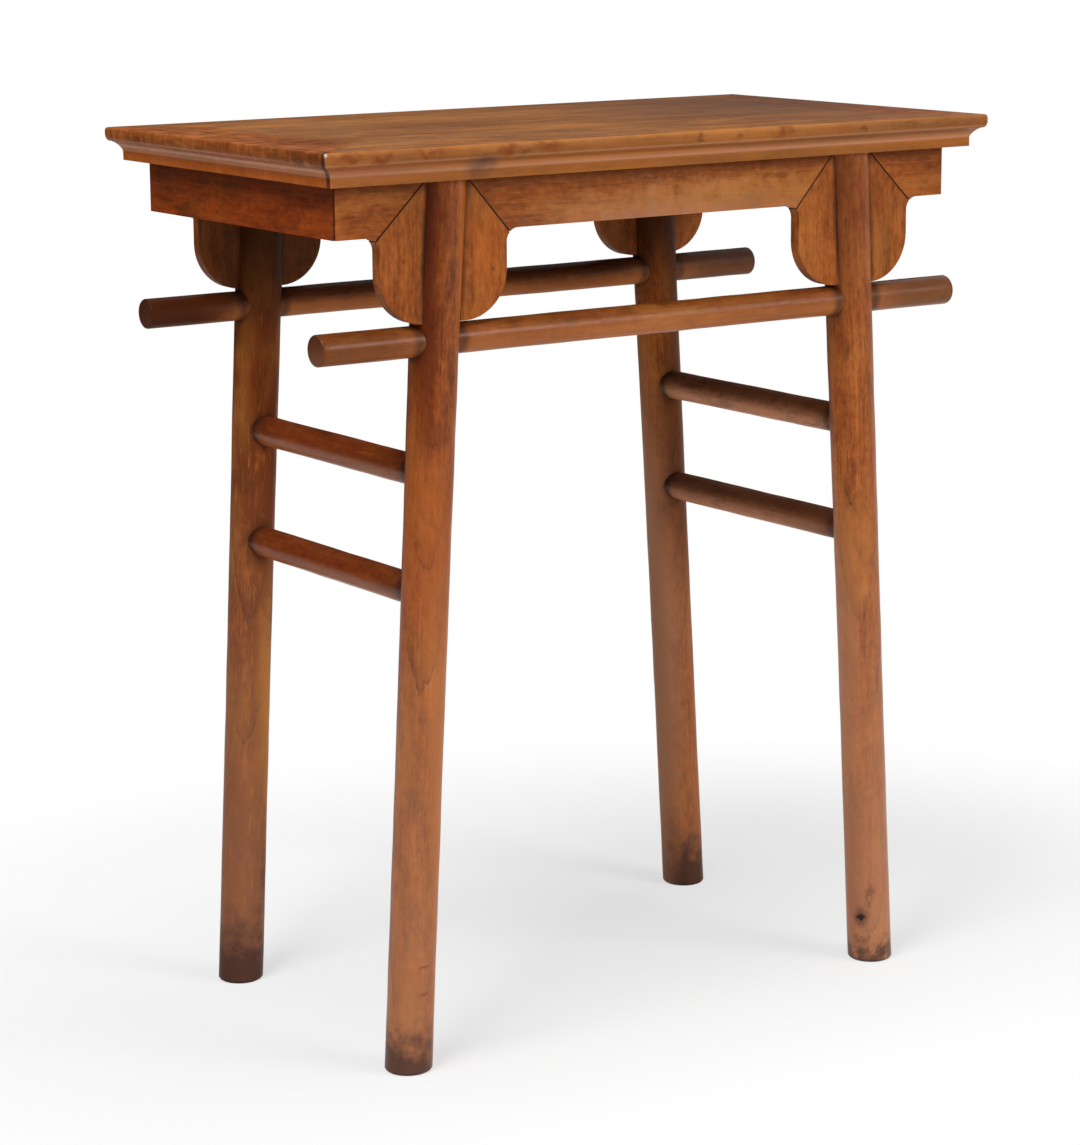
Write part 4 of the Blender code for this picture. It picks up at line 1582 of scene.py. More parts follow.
@dataclass
class Leg(Assembly):
    """A round leg that leans out towards its foot, slotted at the head."""

    sizes: TableFrame
    side: Side
    end: End
    waist_radius: float = 0.0215
    foot_radius: float = 0.0219
    waist_height: float = 0.300
    foot_chamfer: float = 0.0025
    chamfer_bulge: float = 0.3
    saddle_web: float = 0.012
    clearance: float = 0.0003
    ring_count: int = 60
    unevenness: float = 0.00035
    work_spots: float = 26.0
    seed: float = 20.0
    cut_height: float = 0.4
    pith: Point = (-0.085, -0.123)
    tilt: Point = (-0.13, 0.09)
    flank_out: float = 0.018
    flank_forward: float = 0.012
    foot_dirt: float = 3.5
    tones: ClassVar[dict[tuple[Side, End], float]] = {
        (Side.FRONT, End.LEFT): -0.10,
        (Side.FRONT, End.RIGHT): 0.04,
        (Side.BACK, End.LEFT): -0.45,
        (Side.BACK, End.RIGHT): 0.02,
    }
    # How much dust and painted floor light each leg's lower part takes
    dust_and_light_shares: ClassVar[dict[tuple[Side, End], float]] = {
        (Side.FRONT, End.LEFT): 0.45,
        (Side.FRONT, End.RIGHT): 0.70,
        (Side.BACK, End.LEFT): 0.42,
        (Side.BACK, End.RIGHT): 0.34,
    }
    stains: ClassVar[dict[tuple[Side, End], float]] = {
        (Side.FRONT, End.LEFT): 0.060,
        (Side.FRONT, End.RIGHT): 0.030,
        (Side.BACK, End.LEFT): 0.095,
        (Side.BACK, End.RIGHT): 0.090,
    }

    @property
    def node(self) -> str:
        """The solid that the leg stands for."""
        return f"leg_{self.side.word}_{self.end.word}"

    @property
    def foot_x(self) -> float:
        """How far out the leg's axis is on the floor."""
        return self.sizes.leg_outer_x - self.foot_radius

    @property
    def lean(self) -> float:
        """How far the axis goes out for each metre down."""
        return (self.foot_x - self.sizes.leg_head_x) / self.sizes.underside

    @property
    def turn(self) -> Triple:
        """The angles at which the leg stands."""
        return (0.0, -self.end.value * math.atan(self.lean), 0.0)

    @property
    def saddle(self) -> float:
        """How high the slot for the spandrel begins, on a web above the stretcher."""
        return self.sizes.stretcher_height + self.sizes.stretcher_radius + self.saddle_web

    def radius(self, height: float) -> float:
        """The leg's radius, slimmest at the waist.

        Args:
            height: The height above the floor.

        Returns:
            The radius.
        """
        if height > self.waist_height:
            share = (height - self.waist_height) / (self.sizes.underside - self.waist_height)
            return self.waist_radius + (self.sizes.leg_head_radius - self.waist_radius) * share**2
        share = 1 - height / self.waist_height
        return self.waist_radius + (self.foot_radius - self.waist_radius) * share**2

    def axis_x(self, height: float) -> float:
        """How far out the axis is at a height."""
        return self.foot_x - self.lean * height

    def form(self, grow: float = 0.0) -> BMesh:
        """The leaning leg without its joints, for the corner at +X +Y.

        Args:
            grow: How much wider than the leg the form is.

        Returns:
            The form.
        """
        top = self.sizes.board_top
        step = (self.foot_chamfer - top) / self.ring_count
        profile = [(0.0, top)]
        for ring in range(self.ring_count + 1):
            height = top + step * ring
            profile.append((self.radius(height) + grow, height))
        bulge = self.foot_chamfer * self.chamfer_bulge
        profile.append((self.foot_radius - self.foot_chamfer / 2 + grow, bulge))
        profile += [(self.foot_radius - self.foot_chamfer + grow, 0.0), (0.0, 0.0)]
        form = Bench.turned(profile)
        shear = Matrix.Identity(4)
        shear[0][2] = -self.lean
        stand = Matrix.Translation((self.foot_x, self.sizes.leg_y, 0.0)) @ shear
        bmesh.ops.transform(form, verts=form.verts, matrix=stand)
        return form

    def build(self) -> None:
        """Make the leg with its slot, its stretcher hole and its finish."""
        sizes = self.sizes
        form = self.form()
        Bench.worked(form, self.unevenness, self.work_spots, 3.0 * self.end.value + self.side.value)
        board_back = sizes.apron_face - sizes.board_thickness
        slot = Bench.box(
            (sizes.spandrel_inner, board_back - self.clearance, self.saddle - self.clearance),
            (sizes.spandrel_outer, sizes.apron_face + self.clearance, sizes.underside + PAST),
        )
        bore = sizes.stretcher_radius + self.clearance
        deep = sizes.stretcher_half
        hole = Bench.turned([(0.0, deep), (bore, deep), (bore, 0.0), (0.0, 0.0)])
        Bench.swung(hole, math.pi / 2, "Y")
        bmesh.ops.translate(hole, verts=hole.verts, vec=(0.0, sizes.leg_y, sizes.stretcher_height))
        for part in (form, slot, hole):
            Bench.mirrored(part, self.end, self.side)
        seed = self.seed + 5 * self.end.value + 2 * self.side.value
        tone = self.tones[self.side, self.end]
        cut = Cut(self.at(self.cut_height), self.turn, seed, tone, self.pith, self.tilt)
        finish = LEG_WOOD if self.side is Side.FRONT else BACK_LEG_WOOD
        wood = Walnut(finish, cut, self.marks())
        self.deliver(self.node, form, wood, [Tool(slot, Joint.CUT), Tool(hole, Joint.CUT)])

    def at(self, height: float, out: float = 0.0, forward: float = 0.0) -> Triple:
        """A place on this leg, or beside it.

        Args:
            height: How high it is.
            out: How far it is from the axis, towards the table's end.
            forward: How far it is from the axis, towards the front.

        Returns:
            The place.
        """
        x = self.end.value * (self.axis_x(height) + out)
        return (x, self.side.value * self.sizes.leg_y - forward, height)

    def beside(self, flank: Flank, height: float) -> Triple:
        """A place on one flank of this leg.

        Args:
            flank: The flank.
            height: How high the place is.

        Returns:
            The place.
        """
        out = flank.value * self.end.value * self.flank_out
        return self.at(height, out, flank.value * self.flank_forward)

    def girdle(
        self,
        height: float,
        tall: float,
        colour: Colour,
        strength: float,
        softness: float,
        ragged: float = 0.0,
    ) -> Mark:
        """A mark that goes right round the leg.

        Args:
            height: How high its middle is.
            tall: How far it reaches up and down.
            colour: Its colour.
            strength: How much of the colour shows.
            softness: How soft its edges are.
            ragged: How far its edges stray.

        Returns:
            The mark.
        """
        return Mark(self.at(height), (AROUND_LEG, AROUND_LEG, tall), colour, strength, softness, ragged)

    def marks(self) -> tuple[Mark, ...]:
        """Dust and painted light on the lower leg, the stain at the foot, the dirt round the joints, painted
        shade on the back legs' heads and each leg's own painted light and shade.

        Returns:
            The marks.
        """
        sizes = self.sizes
        bar = sizes.stretcher_height
        stain = self.stains[self.side, self.end]
        marks = [
            # Dust and painted light from the floor, fading up the leg
            self.girdle(0.0, 0.66, DUST_AND_LIGHT, self.dust_and_light_shares[self.side, self.end], softness=1.0, ragged=0.03),
            self.girdle(-0.02, 0.02 + stain, FOOT_STAIN, 0.88, softness=0.60, ragged=0.09),
            self.girdle(0.0, stain / 2, DIRT_AND_SHADE, self.foot_dirt * stain, softness=0.60, ragged=0.06),
            self.girdle(0.0, 0.004, DIRT_AND_SHADE, 0.85, softness=0.8),
        ]
        for way in (-1, 1):
            at_bar = self.at(bar, way * self.radius(bar))
            marks.append(Mark(at_bar, (0.010, 0.021, 0.021), DIRT_AND_SHADE, 0.80, softness=0.45))
        for level in ("upper", "lower"):
            low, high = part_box(f"side_rung_{self.end.word}_{level}")
            inward = self.side.value * self.radius(low.z)
            at_rung = self.at((low.z + high.z) / 2, 0.0, inward)
            marks.append(Mark(at_rung, (0.024, 0.012, 0.026), DIRT_AND_SHADE, 0.75, softness=0.9))
        if self.side is Side.BACK:
            # Painted shade under the top on the back legs' heads
            marks.append(self.girdle(sizes.board_top, 0.22, HEAD_SHADE, 0.90, softness=0.6))
        own = {
            (Side.FRONT, End.LEFT): self.front_left_marks,
            (Side.FRONT, End.RIGHT): self.front_right_marks,
            (Side.BACK, End.LEFT): self.back_left_marks,
            (Side.BACK, End.RIGHT): self.back_right_marks,
        }
        return (*marks, *own[self.side, self.end]())

    def front_left_marks(self) -> tuple[Mark, ...]:
        """The head and left flank in red painted shade, a painted highlight on the inner edge, the right
        flank in painted light, a warm band and two scuffs above the foot.

        Returns:
            The marks.
        """
        red_edge = self.at(0.76, 0.022, 0.012)
        red_head = self.at(0.79, 0.011, 0.020)
        painted_highlight = self.at(0.72, -0.020, 0.010)
        pale = self.beside(Flank.RIGHT, 0.22)
        red_flank = self.beside(Flank.LEFT, 0.46)
        marks = [
            # Painted shade on the head and left flank, a painted highlight on the inner edge, painted light
            # on the right flank
            Mark(red_edge, (0.017, 0.020, 0.26), DEEP_RED, 0.82, softness=0.65),
            Mark(red_head, (0.030, 0.030, 0.10), DEEP_RED, 0.35, softness=1.0),
            Mark(painted_highlight, (0.020, 0.024, 0.20), GLOW, 0.88, softness=0.9),
            Mark(pale, (0.028, 0.028, 0.44), PAINTED_LIGHT, 0.75, softness=0.7, ragged=0.004),
            Mark(red_flank, (0.020, 0.020, 0.24), DEEP_RED, 0.45, softness=1.0),
            self.girdle(0.50, 0.17, WARM, 0.40, softness=1.0, ragged=0.03),
        ]
        for height, out, wide in ((0.101, 0.000, 0.008), (0.077, 0.001, 0.009)):
            scuff = self.at(height, out, 0.022)
            marks.append(Mark(scuff, (wide, 0.008, 0.002), SHADE, 0.50, softness=0.9, ragged=0.014))
        return tuple(marks)

    def front_right_marks(self) -> tuple[Mark, ...]:
        """The head in red painted shade, the left flank in painted light, and the knot above the foot with
        its crack.

        Returns:
            The marks.
        """
        head = self.at(0.75, -0.018, 0.015)
        knot = self.at(0.048, -0.0197, 0.011)
        crack = self.at(0.070, -0.012, 0.018)
        lit_flank = self.beside(Flank.LEFT, 0.30)
        return (
            # Painted shade on the head and painted light on the left flank
            Mark(head, (0.042, 0.042, 0.22), DEEP_RED, 0.55, softness=0.9, ragged=0.01),
            Mark(lit_flank, (0.036, 0.036, 0.26), DUST_AND_LIGHT, 0.60, softness=0.8, ragged=0.01),
            Mark(knot, (0.013, 0.012, 0.016), FOOT_STAIN, 0.70, softness=0.8, ragged=0.012),
            Mark(knot, (0.0065, 0.008, 0.0038), DIRT_AND_SHADE, 0.95, softness=0.6, ragged=0.010),
            Mark(crack, (0.003, 0.010, 0.020), SHADE, 0.55, softness=0.9, ragged=0.022),
        )

    def back_left_marks(self) -> tuple[Mark, ...]:
        """The right flank in painted light, the left flank and a dark red patch in painted shade, and dark
        streaks down the front.

        Returns:
            The marks.
        """
        golden = self.beside(Flank.RIGHT, 0.28)
        dark = self.beside(Flank.LEFT, 0.69)
        red = self.at(0.61, 0.004, 0.022)
        streak = self.at(0.36, -0.016, 0.012)
        low_streak = self.at(0.10, -0.014, 0.014)
        return (
            # Painted light on the right flank, painted shade on the left flank and a red patch
            Mark(golden, (0.028, 0.028, 0.17), GOLD, 0.75, softness=0.7, ragged=0.004),
            Mark(dark, (0.022, 0.022, 0.14), SHADE, 0.60, softness=1.0),
            Mark(red, (0.022, 0.022, 0.10), DEEP_RED, 0.45, softness=1.0, ragged=0.01),
            Mark(streak, (0.010, 0.014, 0.08), SHADE, 0.70, softness=0.9, ragged=0.02),
            Mark(low_streak, (0.008, 0.014, 0.06), DIRT_AND_SHADE, 0.55, softness=0.9, ragged=0.02),
        )

    def back_right_marks(self) -> tuple[Mark, ...]:
        """The left flank in painted light and the right flank in painted shade.

        Returns:
            The marks.
        """
        lit_flank = self.beside(Flank.LEFT, 0.28)
        dark = self.beside(Flank.RIGHT, 0.58)
        return (
            # Painted light on the left flank and painted shade on the right flank
            Mark(lit_flank, (0.046, 0.046, 0.46), DUST_AND_LIGHT, 0.95, softness=0.6, ragged=0.01),
            Mark(dark, (0.038, 0.038, 0.32), LEE_SHADE, 0.78, softness=0.5, ragged=0.006),
        )


@dataclass
class LongSide(Assembly):
    """The boards of one long side, sawn from one drawn outline, and the stretcher below them."""

    sizes: TableFrame
    side: Side
    spandrel_radius: float = 0.044
    fillet_radius: float = 0.012
    mitre_half_width: float = 0.0215
    seam: float = 0.0003
    spandrel_seed: float = 50.0
    apron_seed: float = 60.0
    apron_end_seed: float = 70.0
    bar_easing: float = 0.0020
    bar_cuts: int = 70
    bar_unevenness: float = 0.0003
    bar_spots: float = 30.0
    bar_work_seed: float = 9.0
    bar_seed: float = 80.0
    bar_pith: Point = (0.004, 0.006)
    bar_tilt: Point = (0.004, 0.006)
    smudges: tuple[Point, ...] = ((0.066, 0.666), (0.093, 0.666), (0.117, 0.677))
    # Painted light below each stretcher, and painted shade above the back one
    front_shading: BarShading = BarShading(DIRT_AND_SHADE, 0.0, PAINTED_LIGHT, 0.50, below_reach=1.9)
    back_shading: BarShading = BarShading(DIRT_AND_SHADE, 0.70, PAINTED_LIGHT, 0.50)
    tip_depths: ClassVar[dict[tuple[Side, End], float]] = {
        (Side.FRONT, End.LEFT): 0.58,
        (Side.FRONT, End.RIGHT): 0.58,
        (Side.BACK, End.LEFT): 0.97,
        (Side.BACK, End.RIGHT): 0.68,
    }

    def build(self) -> None:
        """Make the apron, the spandrels, the apron ends and the stretcher."""
        self.apron()
        for end in End:
            self.spandrel(end)
            self.apron_end(end)
        self.stretcher()

    def drawing(self) -> BMesh:
        """Draw half of the side's whole outline, flat, from the middle to the right end.

        Returns:
            The flat form, at the boards' outer face.
        """
        sizes = self.sizes
        form, corners = Bench.outline(
            [
                (0.0, sizes.board_top),
                (sizes.end_face, sizes.board_top),
                (sizes.end_face, sizes.apron_bottom),
                (sizes.spandrel_outer, sizes.apron_bottom),
                (sizes.spandrel_outer, sizes.spandrel_foot),
                (sizes.spandrel_inner, sizes.spandrel_foot),
                (sizes.spandrel_inner, sizes.apron_bottom),
                (0.0, sizes.apron_bottom),
            ],
            sizes.apron_face,
        )
        Bench.rounded(form, (corners[3], corners[6]), self.fillet_radius)
        Bench.rounded(form, (corners[4], corners[5]), self.spandrel_radius)
        return form

    def mitre(self, way: int, shift: float) -> Seam:
        """The saw cut between the spandrel and one of its aprons.

        Args:
            way: 1 for the cut outside the leg and -1 for the one inside.
            shift: How far the cut lies to the apron's side.

        Returns:
            A point on the cut and the way to the apron.
        """
        sizes = self.sizes
        edge = sizes.spandrel_outer if way > 0 else sizes.spandrel_inner
        bite = self.fillet_radius * (1 - math.sqrt(0.5))
        foot = Vector((edge + way * bite, sizes.apron_face, sizes.apron_bottom - bite))
        head = Vector((sizes.leg_head_x + way * self.mitre_half_width, sizes.apron_face, sizes.board_top))
        along = (foot - head).normalized()
        out = Vector((-along.z, 0.0, along.x)) * way
        return tuple(head + out * shift), tuple(out)

    def board(self, form: BMesh) -> None:
        """Give a flat board its thickness, inwards from its outer face."""
        Bench.thickened(form, (0.0, -self.sizes.board_thickness, 0.0))

    def wood(self, end: End | None, turn: Triple, seed: float, marks: Sequence[Mark] = ()) -> Walnut:
        """A board's own walnut.

        Args:
            end: The end that the board is at, or none for the middle.
            turn: Which way its grain runs.
            seed: Which cut it is.
            marks: The marks that it carries besides the painted shadow under the top.

        Returns:
            The walnut.
        """
        sizes = self.sizes
        across = 0.0 if end is None else end.value * sizes.leg_head_x
        face = self.side.value * sizes.apron_face
        head = (0.0, face, sizes.board_top)
        # Painted shadow of the top's overhang along the board's upper edge
        shadow_under_top = Mark(head, (1.5, 0.05, 0.022), SHADE, 0.50, softness=1.0, ragged=0.004)
        cut = Cut((across, face, sizes.apron_bottom), turn, seed + 3 * self.side.value)
        return Walnut(BOARD_WOOD, cut, (shadow_under_top, *marks))

    def spandrel(self, end: End) -> None:
        """Make one spandrel, coped to its leg below the slot.

        Args:
            end: The end that it is at.
        """
        sizes = self.sizes
        form = self.drawing()
        seams = [self.mitre(way, 0.0) for way in (-1, 1)]
        for point, out in seams:
            Bench.sawn(form, point, out)
        self.board(form)
        Bench.board_eased(form, seams)
        leg = Leg(sizes, self.side, end)
        cope = leg.form(leg.clearance)
        Bench.sawn(cope, (0.0, 0.0, leg.saddle), (0.0, 0.0, 1.0))
        for part in (form, cope):
            Bench.mirrored(part, end, self.side)
        wood = self.wood(end, UPRIGHT, self.spandrel_seed + end.value, self.spandrel_marks(leg))
        self.deliver(f"spandrel_{self.side.word}_{end.word}", form, wood, [Tool(cope, Joint.CUT)])

    def spandrel_marks(self, leg: Leg) -> tuple[Mark, ...]:
        """Dirt and painted shade in the corners beside the leg, painted shade on the back boards' inner faces
        and the front left board's specks.

        Args:
            leg: The leg that carries the spandrel.

        Returns:
            The marks.
        """
        sizes = self.sizes
        middle = (sizes.board_top + sizes.spandrel_foot) / 2
        outwards = sizes.apron_face - sizes.leg_y
        half = math.sqrt(leg.radius(middle) ** 2 - outwards**2)
        marks = []
        # Dirt with painted shade beside the leg, deeper on the side turned from the light
        for way, strength in ((-1, 0.95), (1, 0.60)):
            corner = leg.at(middle, way * leg.end.value * half, -self.side.value * outwards)
            marks.append(Mark(corner, (0.0060, 0.02, 0.13), DIRT_AND_SHADE, strength, softness=0.95, turn=leg.turn))
        # Painted shade on the back boards' inner faces, under the table
        if leg.side is Side.BACK:
            inner = leg.at(middle, 0.0, -self.side.value * (outwards - sizes.board_thickness))
            tint, strength = (DIRT_AND_SHADE, 0.62) if leg.end is End.LEFT else (SHADE, 0.20)
            marks.append(Mark(inner, (0.12, 0.006, 0.12), tint, strength, softness=0.5))
        if (leg.side, leg.end) == (Side.FRONT, End.LEFT):
            knot = (-0.180, -sizes.apron_face, 0.728)
            speck = (-0.273, -sizes.apron_face, 0.740)
            bright = (-0.19, -sizes.apron_face, middle)
            marks.append(Mark(knot, (0.003, 0.01, 0.003), DIRT_AND_SHADE, 0.75, softness=0.8, ragged=0.004))
            marks.append(Mark(speck, (0.002, 0.01, 0.003), DIRT_AND_SHADE, 0.55, softness=0.8, ragged=0.004))
            marks.append(Mark(bright, (0.03, 0.01, 0.05), GLOW, 0.40, softness=1.0, ragged=0.02))
        return tuple(marks)

    def apron(self) -> None:
        """Make the long apron between the spandrels."""
        form = self.drawing()
        point, out = self.mitre(-1, self.seam)
        Bench.sawn(form, point, tuple(-Vector(out)))
        bmesh.ops.mirror(form, geom=Bench.whole(form), axis="X", merge_dist=MERGE_DISTANCE)
        bmesh.ops.dissolve_limit(form, angle_limit=FLAT_ANGLE, verts=form.verts, edges=form.edges)
        self.board(form)
        seams = [(point, out), ((-point[0], point[1], point[2]), (-out[0], out[1], out[2]))]
        Bench.board_eased(form, seams)
        Bench.mirrored(form, End.RIGHT, self.side)
        face = self.side.value * self.sizes.apron_face
        # Painted light across the middle of the apron
        pale = Mark((0.02, face, 0.745), (0.24, 0.05, 0.06), DUST_AND_LIGHT, 0.75, softness=1.0, ragged=0.06)
        golden = Mark((0.08, face, 0.778), (0.24, 0.05, 0.022), GOLD, 0.55, softness=1.0, ragged=0.05)
        wood = self.wood(None, ALONG_X, self.apron_seed, (pale, golden))
        self.deliver(f"apron_{self.side.word}", form, wood)

    def apron_end(self, end: End) -> None:
        """Make the short apron outside a leg, mitred in plan at the corner.

        Args:
            end: The end that it is at.
        """
        sizes = self.sizes
        form = self.drawing()
        point, out = self.mitre(1, self.seam)
        Bench.sawn(form, point, tuple(-Vector(out)))
        self.board(form)
        corner = (sizes.end_face - self.seam / math.sqrt(2), sizes.apron_face, 0.0)
        outwards = (1.0, -1.0, 0.0)
        Bench.sawn(form, corner, outwards)
        Bench.board_eased(form, [(point, out), (corner, outwards)])
        Bench.mirrored(form, end, self.side)
        wood = self.wood(end, ALONG_X, self.apron_end_seed + 2 * end.value)
        self.deliver(f"apron_end_{self.side.word}_{end.word}", form, wood)

    def stretcher(self) -> None:
        """Make the round bar that runs through both legs."""
        sizes = self.sizes
        form = Bar(sizes.stretcher_radius, 2 * sizes.stretcher_half, self.bar_easing, self.bar_cuts).form()
        Bench.worked(form, self.bar_unevenness, self.bar_spots, self.bar_work_seed + self.side.value)
        Bench.swung(form, math.pi / 2, "Y")
        place = (0.0, self.side.value * sizes.leg_y, sizes.stretcher_height)
        bmesh.ops.translate(form, verts=form.verts, vec=place)
        seed = self.bar_seed + 4 * self.side.value
        cut = Cut(place, ALONG_X, seed, pith=self.bar_pith, tilt=self.bar_tilt)
        finish = FRONT_BAR_WOOD if self.side is Side.FRONT else BACK_BAR_WOOD
        self.deliver(f"long_stretcher_{self.side.word}", form, Walnut(finish, cut, self.stretcher_marks()))

    def stretcher_marks(self) -> tuple[Mark, ...]:
        """Painted shade above the bar and painted light below it, the dark free ends, the dirt beside the
        legs and the smudges on the front bar.

        Returns:
            The marks.
        """
        sizes = self.sizes
        bar, line = sizes.stretcher_height, self.side.value * sizes.leg_y
        shading = self.front_shading if self.side is Side.FRONT else self.back_shading
        # Painted shade above the bar and painted light below it
        marks = list(shading.marks((0.0, line, bar), sizes.stretcher_radius))
        for end in End:
            leg = Leg(sizes, self.side, end)
            tip = (end.value * sizes.stretcher_half, line, bar)
            # Darker free ends: dirt, with painted shade under the top, deepest on the back bar
            tint = SHADE if end is End.LEFT else TIP_SHADE
            depth = self.tip_depths[self.side, end]
            marks.append(Mark(tip, (0.12, 0.05, 0.05), tint, depth, softness=0.5, ragged=0.02))
            marks.append(Mark(tip, (0.004, 0.03, 0.03), DIRT_AND_SHADE, 0.25, softness=0.3))
            for way in (-1, 1):
                joint = leg.at(bar, way * leg.radius(bar))
                marks.append(Mark(joint, (0.011, 0.03, 0.03), DIRT_AND_SHADE, 0.88, softness=0.8))
        if self.side is Side.FRONT:
            for x, height in self.smudges:
                smudge = (x, -0.155, height)
                marks.append(Mark(smudge, (0.006, 0.012, 0.010), SHADE, 0.65, softness=0.9, ragged=0.012))
        return tuple(marks)


@dataclass
class ShortEnd(Assembly):
    """The apron under one end of the top and the two rungs between the end's legs."""

    sizes: TableFrame
    end: End
    seam: float = 0.0003
    apron_seed: float = 90.0
    apron_tone: float = -0.16
    rung_easing: float = 0.0020
    rung_cuts: int = 40
    rung_unevenness: float = 0.0003
    rung_spots: float = 30.0
    rung_seed: float = 100.0
    rung_pith: Point = (0.005, 0.004)
    # Painted light on the upper right rung, as a lighter tone
    painted_light_tone: float = 0.30
    tenon_width: float = 0.010
    tenon_height: float = 0.018
    tenon_past_axis: float = 0.006
    # Painted light below the rungs, and painted shade above the right ones
    left_shading: BarShading = BarShading(DIRT_AND_SHADE, 0.0, PAINTED_LIGHT, 0.40, below_reach=1.1)
    right_shading: BarShading = BarShading(LEE_SHADE, 0.72, DUST_AND_LIGHT, 0.40, above_reach=1.8)

    def build(self) -> None:
        """Make the end apron and the rungs."""
        self.apron()
        for level in ("upper", "lower"):
            self.rung(level)

    def apron(self) -> None:
        """Make the apron, mitred in plan at both corners."""
        sizes = self.sizes
        low = (sizes.end_face - sizes.board_thickness, -sizes.apron_face, sizes.apron_bottom)
        form = Bench.box(low, (sizes.end_face, sizes.apron_face, sizes.board_top))
        seams = []
        for way in (-1, 1):
            corner = (sizes.end_face, way * (sizes.apron_face - self.seam / math.sqrt(2)), 0.0)
            out = (-1.0, way, 0.0)
            Bench.sawn(form, corner, out)
            seams.append((corner, out))
        Bench.board_eased(form, seams)
        Bench.mirrored(form, self.end, Side.BACK)
        face = self.end.value * sizes.end_face
        cut = Cut((face, 0.0, sizes.apron_bottom), ALONG_Y, self.apron_seed + self.end.value, self.apron_tone)
        head = (face, 0.0, sizes.board_top)
        # Painted shadow of the top's overhang along the apron's upper edge
        shadow_under_top = Mark(head, (0.05, 1.5, 0.020), SHADE, 0.55, softness=1.0, ragged=0.004)
        self.deliver(f"end_apron_{self.end.word}", form, Walnut(SHADED_END_WOOD, cut, (shadow_under_top,)))

    def rung(self, level: str) -> None:
        """Make one rung, coped to the legs and tenoned into them.

        Args:
            level: Whether it is the upper or the lower one.
        """
        sizes = self.sizes
        node = f"side_rung_{self.end.word}_{level}"
        low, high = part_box(node)
        middle = (low + high) / 2
        form = Bar(sizes.rung_radius, 2 * sizes.leg_y, self.rung_easing, self.rung_cuts).form()
        Bench.worked(form, self.rung_unevenness, self.rung_spots, middle.z * 9)
        Bench.swung(form, -math.pi / 2, "X")
        bmesh.ops.translate(form, verts=form.verts, vec=middle)
        tools = []
        for side in Side:
            leg = Leg(sizes, side, self.end)
            cope = leg.form(leg.clearance)
            Bench.mirrored(cope, self.end, side)
            tools.append(Tool(cope, Joint.CUT))
        half = Vector((self.tenon_width / 2, sizes.leg_y + self.tenon_past_axis, self.tenon_height / 2))
        tools.append(Tool(Bench.box(tuple(middle - half), tuple(middle + half)), Joint.JOIN))
        seed = self.rung_seed + 10 * middle.z + self.end.value
        tone = self.painted_light_tone if (self.end, level) == (End.RIGHT, "upper") else 0.0
        cut = Cut(tuple(middle), ALONG_Y, seed, tone, self.rung_pith)
        # Shaded and lit copies of one bar wood for the left and the right rungs
        finish = SHADED_RED_BAR_WOOD if self.end is End.LEFT else LIT_PALE_BAR_WOOD
        self.deliver(node, form, Walnut(finish, cut, self.rung_marks(level, middle)), tools)

    def rung_marks(self, level: str, middle: Vector) -> tuple[Mark, ...]:
        """The painted shade and light on a rung's upper and lower sides, the dirt at its joints, and painted
        shade at the lower right rung's front end.

        Args:
            level: Whether it is the upper or the lower one.
            middle: The rung's middle.

        Returns:
            The marks.
        """
        sizes = self.sizes
        reach = sizes.leg_y - Leg(sizes, Side.FRONT, self.end).radius(middle.z)
        shading = self.left_shading if self.end is End.LEFT else self.right_shading
        marks = list(shading.marks(tuple(middle), sizes.rung_radius))
        for side in Side:
            joint = (middle.x, side.value * reach, middle.z)
            marks.append(Mark(joint, (0.05, 0.028, 0.05), DIRT_AND_SHADE, 0.50, softness=1.0))
            marks.append(Mark(joint, (0.05, 0.009, 0.05), DIRT_AND_SHADE, 0.75, softness=0.8))
        # Painted shade at the lower right rung's front end
        if (self.end, level) == (End.RIGHT, "lower"):
            front_joint = (middle.x, -reach, middle.z)
            marks.append(Mark(front_joint, (0.05, 0.10, 0.05), SHADE, 0.65, softness=1.0))
        return tuple(marks)


@dataclass(frozen=True)
class SoftBox:
    """A large soft studio lamp that is aimed at the table."""

    name: str
    place: Triple
    aim: Triple
    size: Point
    power: float
    mirrored: bool = True


@dataclass(frozen=True)
class Flag:
    """A dark studio card that keeps stray light off the table, out of the camera's sight."""

    name: str
    place: Triple
    facing: Triple
    size: Point


